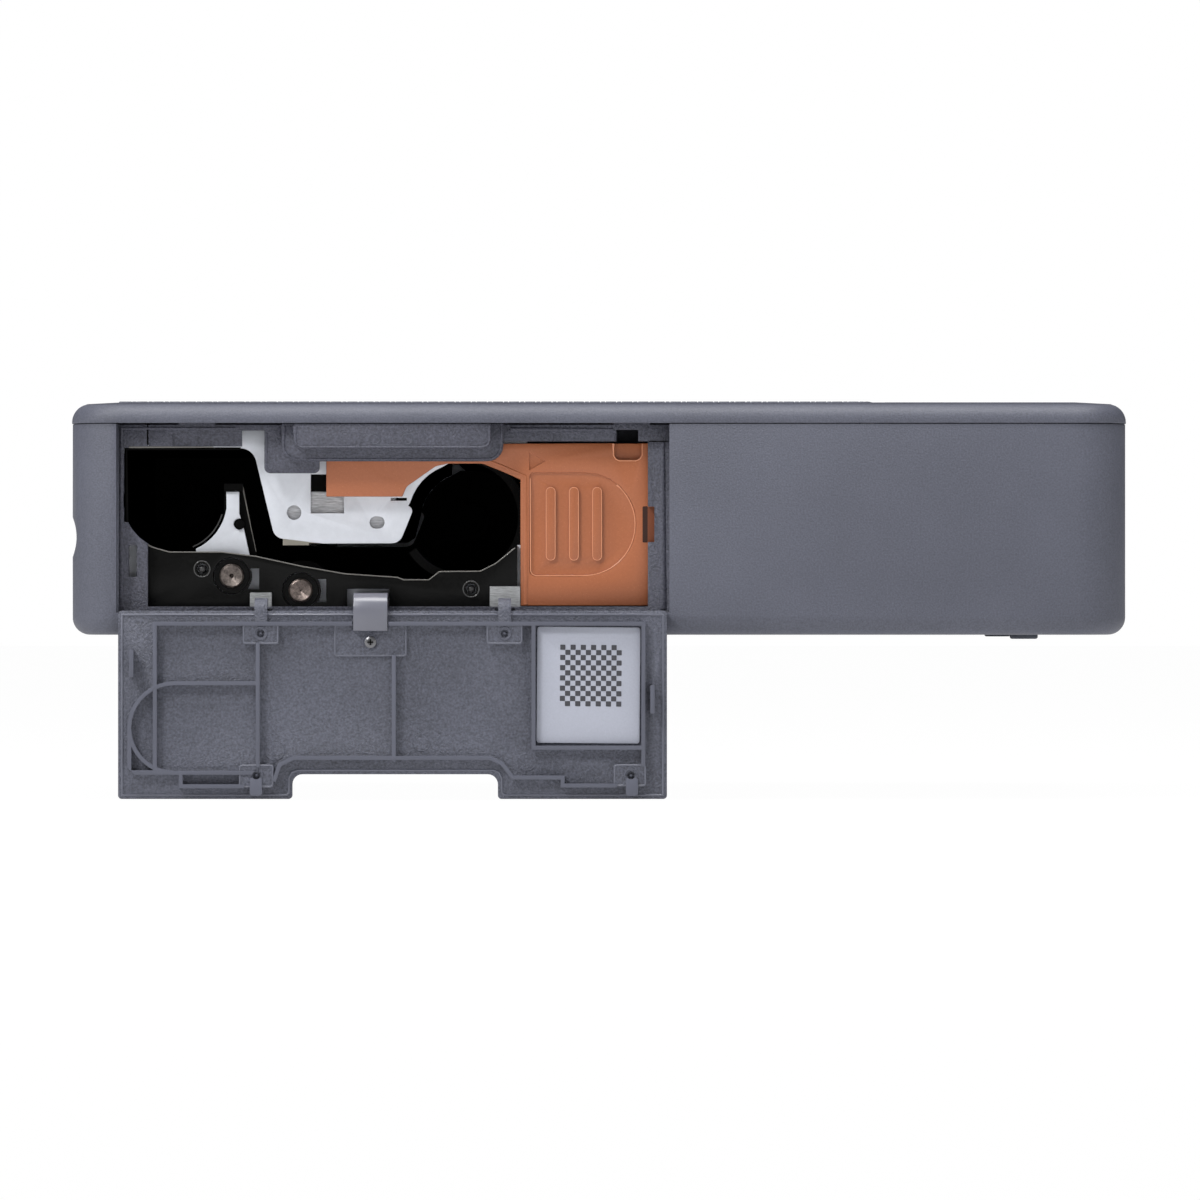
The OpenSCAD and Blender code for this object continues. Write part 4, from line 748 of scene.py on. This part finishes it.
# painted highlight only on the recess's lower right arc, the side that faces the light
thumb_edge = arc(THUMB_CENTRE, THUMB_R, 50, -90, 26)
thumb_edge += [(-8.7, 8.77), (-9.2, 8.95), (-9.45, 9.4), (-9.5, 22.2)]
highlight_beads = [bead(thumb_edge, 0.13, 0.035, LEVER_FACE_Y)]
for k in range(GRIP_RIBS):
    rib_left = GRIP_X0 + k * GRIP_PITCH
    rib = round_box(rib_left + GRIP_INSET, rib_left + GRIP_W - GRIP_INSET, 10.9, 20.97, 0.6, 4)
    highlight_beads.append(bead(rib, 0.1, 0.03, LEVER_FACE_Y, closed=True))
pocket_edge = [(2.0, 27.0), (2.0, 25.4), (2.35, 24.85), (2.9, 24.65), (5.1, 24.65), (5.65, 24.85),
               (6.0, 25.4), (6.0, 27.0)]
highlight_beads.append(bead(pocket_edge, 0.14, 0.04, LEVER_FACE_Y))
piece("lever_painted_edge_highlights", joined(highlight_beads), "eject_lever", "lever_painted_highlight", smooth=60)

# painted highlights along the edge of the cassette guide and round its pin rings, and the steel keepers
# behind the cover's fingers
EDGE = [(-63.2, 13.45), (-61.8, 12.72), (-59.4, 12.02), (-52.15, 12.02), (-47.4, 11.42), (-41.2, 10.07),
        (-35.2, 9.02), (-27.9, 8.52), (-27, 8.18), (-23.5, 8.18), (-22.05, 9.32), (-16.4, 9.37),
        (-14.3, 10.42), (-11.6, 12.6)]
# painted highlight: a pale bead along the guide's top edge
piece("guide_edge", bead(EDGE, 0.17, 0.09, GUIDE_FACE_Y), "root", "painted_edge_highlight",
      smooth=60)
KEEPERS = [(-48.25, -45.25, 4.1, 6.45), (-15.1, -10.9, 4.3, 7.3)]
KEEPER_Y, KEEPER_T = -47.0, 0.4
piece("hinge_keepers", joined([prism(round_box(*keeper, 0.12, 2), KEEPER_Y, KEEPER_Y + KEEPER_T)
                               for keeper in KEEPERS]),
      "root", "keeper_steel")
POST_FACE_Y = -44.1
# painted highlight: a pale bead along the edge of the post
piece("post_edge", bead([(-49.45, 21.4), (-48.1, 14.9), (-47.5, 12.1)], 0.12, 0.08, POST_FACE_Y),
      "root", "painted_edge_highlight", smooth=60)

# painted shade: dark sheets on the lever's face where its stop pocket and the tab behind it lie in shadow
STOP_Y = (LEVER_FACE_Y - 0.02, LEVER_FACE_Y + 0.2)
piece("lever_stop_painted_shadow", prism(round_box(6.02, 6.72, 13.35, 18.35, 0.1, 1), *STOP_Y), "eject_lever",
      "lever_painted_shadow")
piece("lever_stop_painted_shade", prism(round_box(6.72, 7.95, 13.45, 18.25, 0.06, 1), *STOP_Y),
      "eject_lever", "lever_painted_shade")

# rounded rims of the two steps of the tab: left, low and right edge, corner radius and face
RIM_TOP = 29.3
STEPS = [(-43.5, 24.8, -13.45, 2.0, TAB_STEP_Y), (-41.85, 26.45, -15.1, 1.0, TAB_FACE_Y)]
rims = []
for step_left, step_low, step_right, turn, y in STEPS:
    rim = [(step_left, RIM_TOP)] + arc((step_left + turn, step_low + turn), turn, 180, 270, 6)
    rim += arc((step_right - turn, step_low + turn), turn, 270, 360, 6) + [(step_right, RIM_TOP)]
    rims.append(bead(rim, 0.34, 0.14, y))
piece("tab_rims", joined(rims), "root", "frame_slate", smooth=60)

# pictogram of the cassette on the tab: two spools and the film between them
SPOOLS = [(-30.9, 27.55), (-26.4, 27.55)]
FILM_Z = 26.65
picture = [bead(circle(c, 0.72), 0.26, 0.05, TAB_FACE_Y, True) for c in SPOOLS]
picture.append(bead([(SPOOLS[0][0], FILM_Z), (SPOOLS[1][0], FILM_Z)], 0.24, 0.05, TAB_FACE_Y))
piece("cassette_pictogram", joined(picture), "root", "tray_grey", smooth=60)

# small parts in the bay: guide pins and the thin lip of the supply well; the pins' rings and the lip are a
# paler, glossy black, a painted highlight
PINS = ((-54.85, 9.68), (-17.67, 6.9))
PIN_RING_Y = GUIDE_FACE_Y - 0.3
pin_profile = [(0, GUIDE_FACE_Y), (0.3, GUIDE_FACE_Y + 0.02), (0.5, GUIDE_FACE_Y + 0.25),
               (0.52, GUIDE_FACE_Y + 1.7), (0, GUIDE_FACE_Y + 1.7)]
piece("guide_pins", joined([lathe(pin_profile, c, 24) for c in PINS]), "root", "pin_grey",
      smooth=50)
# painted highlight: paler rings round the pins
piece("guide_pin_rings", joined([bead(circle(c, 1.1), 0.16, 0.05, PIN_RING_Y, True) for c in PINS]),
      "root", "black_painted_sheen", smooth=60)
SUPPLY_WELL = (-58.8, 19.15)
well_lip = arc(SUPPLY_WELL, 6.95, -16, -68, 14) + arc(SUPPLY_WELL, 6.8, -68, -16, 14)
# painted highlight: the lip of the well is a paler black
piece("well_lip", prism(well_lip, -45.3, -44.2), "root", "black_painted_sheen")

# ---- CAD nodes that keep their own shape ----
for part in record["subparts"]:
    node = frame["nodes"][part["node"]]
    node.data.materials.clear()
    node.data.materials.append(finishes[part["material_slot"]])


# ---- stage, camera, light ----
PIXELS_PER_MM = 7.26
PHOTO_PIXELS = 1200
CAMERA_AWAY = 1200.0
VIEW_CENTRE = (0.14, 5.4)
# how white the floor is to the camera, and the strength of the even light from all round
WHITE_SHARE = 0.985
SOFT_LIGHT = 0.12
LIGHT_AIM = (0, 0, 0.01)


def stage_surface(name, colour):
    """White to the camera and in reflections, with the object's shadow kept."""
    material = bpy.data.materials.new(name)
    material.use_nodes = True
    nodes, link = material.node_tree.nodes, material.node_tree.links.new
    nodes.clear()
    path, seen = nodes.new("ShaderNodeLightPath"), nodes.new("ShaderNodeMath")
    seen.operation = "MAXIMUM"
    link(path.outputs["Is Camera Ray"], seen.inputs[0])
    link(path.outputs["Is Glossy Ray"], seen.inputs[1])
    share = nodes.new("ShaderNodeMath")
    share.operation = "MULTIPLY"
    share.inputs[1].default_value = WHITE_SHARE
    link(seen.outputs[0], share.inputs[0])
    matt, glow, mix, out = (nodes.new("ShaderNodeBsdfDiffuse"), nodes.new("ShaderNodeEmission"),
                            nodes.new("ShaderNodeMixShader"), nodes.new("ShaderNodeOutputMaterial"))
    matt.inputs["Color"].default_value = (*colour, 1)
    glow.inputs["Color"].default_value = (1, 1, 1, 1)
    glow.inputs["Strength"].default_value = 1.0
    link(share.outputs[0], mix.inputs["Fac"])
    link(matt.outputs[0], mix.inputs[1])
    link(glow.outputs[0], mix.inputs[2])
    link(mix.outputs[0], out.inputs["Surface"])
    return material


def make_stage():
    low = min(cad_box[0][2], 0) - 0.0002
    bpy.ops.mesh.primitive_plane_add(size=8, location=(0, 0, low))
    floor = bpy.context.active_object
    floor.name = "floor"
    floor.data.materials.append(stage_surface("floor_white", (0.9, 0.9, 0.9)))


def make_world():
    world = bpy.data.worlds.new("studio")
    bpy.context.scene.world = world
    world.use_nodes = True
    nodes, link = world.node_tree.nodes, world.node_tree.links.new
    nodes.clear()
    path, seen = nodes.new("ShaderNodeLightPath"), nodes.new("ShaderNodeMath")
    seen.operation = "MAXIMUM"
    link(path.outputs["Is Camera Ray"], seen.inputs[0])
    link(path.outputs["Is Transmission Ray"], seen.inputs[1])
    soft, white, mix, out = (nodes.new("ShaderNodeBackground"), nodes.new("ShaderNodeBackground"),
                             nodes.new("ShaderNodeMixShader"), nodes.new("ShaderNodeOutputWorld"))
    soft.inputs["Color"].default_value = (1, 1, 1, 1)
    soft.inputs["Strength"].default_value = SOFT_LIGHT
    white.inputs["Strength"].default_value = 1.0
    white.inputs["Color"].default_value = (1, 1, 1, 1)
    link(seen.outputs[0], mix.inputs["Fac"])
    link(soft.outputs[0], mix.inputs[1])
    link(white.outputs[0], mix.inputs[2])
    link(mix.outputs[0], out.inputs["Surface"])


def area_light(name, place, size, watts):
    data = bpy.data.lights.new(name, "AREA")
    data.shape = "RECTANGLE"
    data.size, data.size_y = size
    data.energy = watts
    lamp = bpy.data.objects.new(name, data)
    lamp.location = Vector(place)
    lamp.rotation_euler = (Vector(LIGHT_AIM) - Vector(place)).to_track_quat("-Z", "Y").to_euler()
    bpy.context.scene.collection.objects.link(lamp)


def make_camera():
    data = bpy.data.cameras.new("camera")
    data.sensor_width = 36
    span = PHOTO_PIXELS / PIXELS_PER_MM
    data.lens = data.sensor_width * CAMERA_AWAY / span
    data.clip_start, data.clip_end = 0.01, 20
    camera = bpy.data.objects.new("camera", data)
    camera.location = mm(VIEW_CENTRE[0], SIDE_Y - CAMERA_AWAY, VIEW_CENTRE[1])
    camera.rotation_euler = (math.radians(90), 0, 0)
    bpy.context.scene.collection.objects.link(camera)
    bpy.context.scene.camera = camera


make_stage()
make_world()
area_light("key", (-0.55, -0.6, 0.7), (0.22, 0.22), 6.8)
area_light("fill", (0.4, -0.9, 0.25), (0.6, 0.6), 0.6)
area_light("top", (0, -0.15, 0.8), (0.8, 0.35), 10.0)
area_light("left", (-0.9, -0.3, 0.15), (0.3, 0.6), 1.8)
area_light("right", (0.9, -0.3, 0.15), (0.3, 0.6), 1.0)
make_camera()
bpy.context.scene.view_settings.view_transform = "Standard"
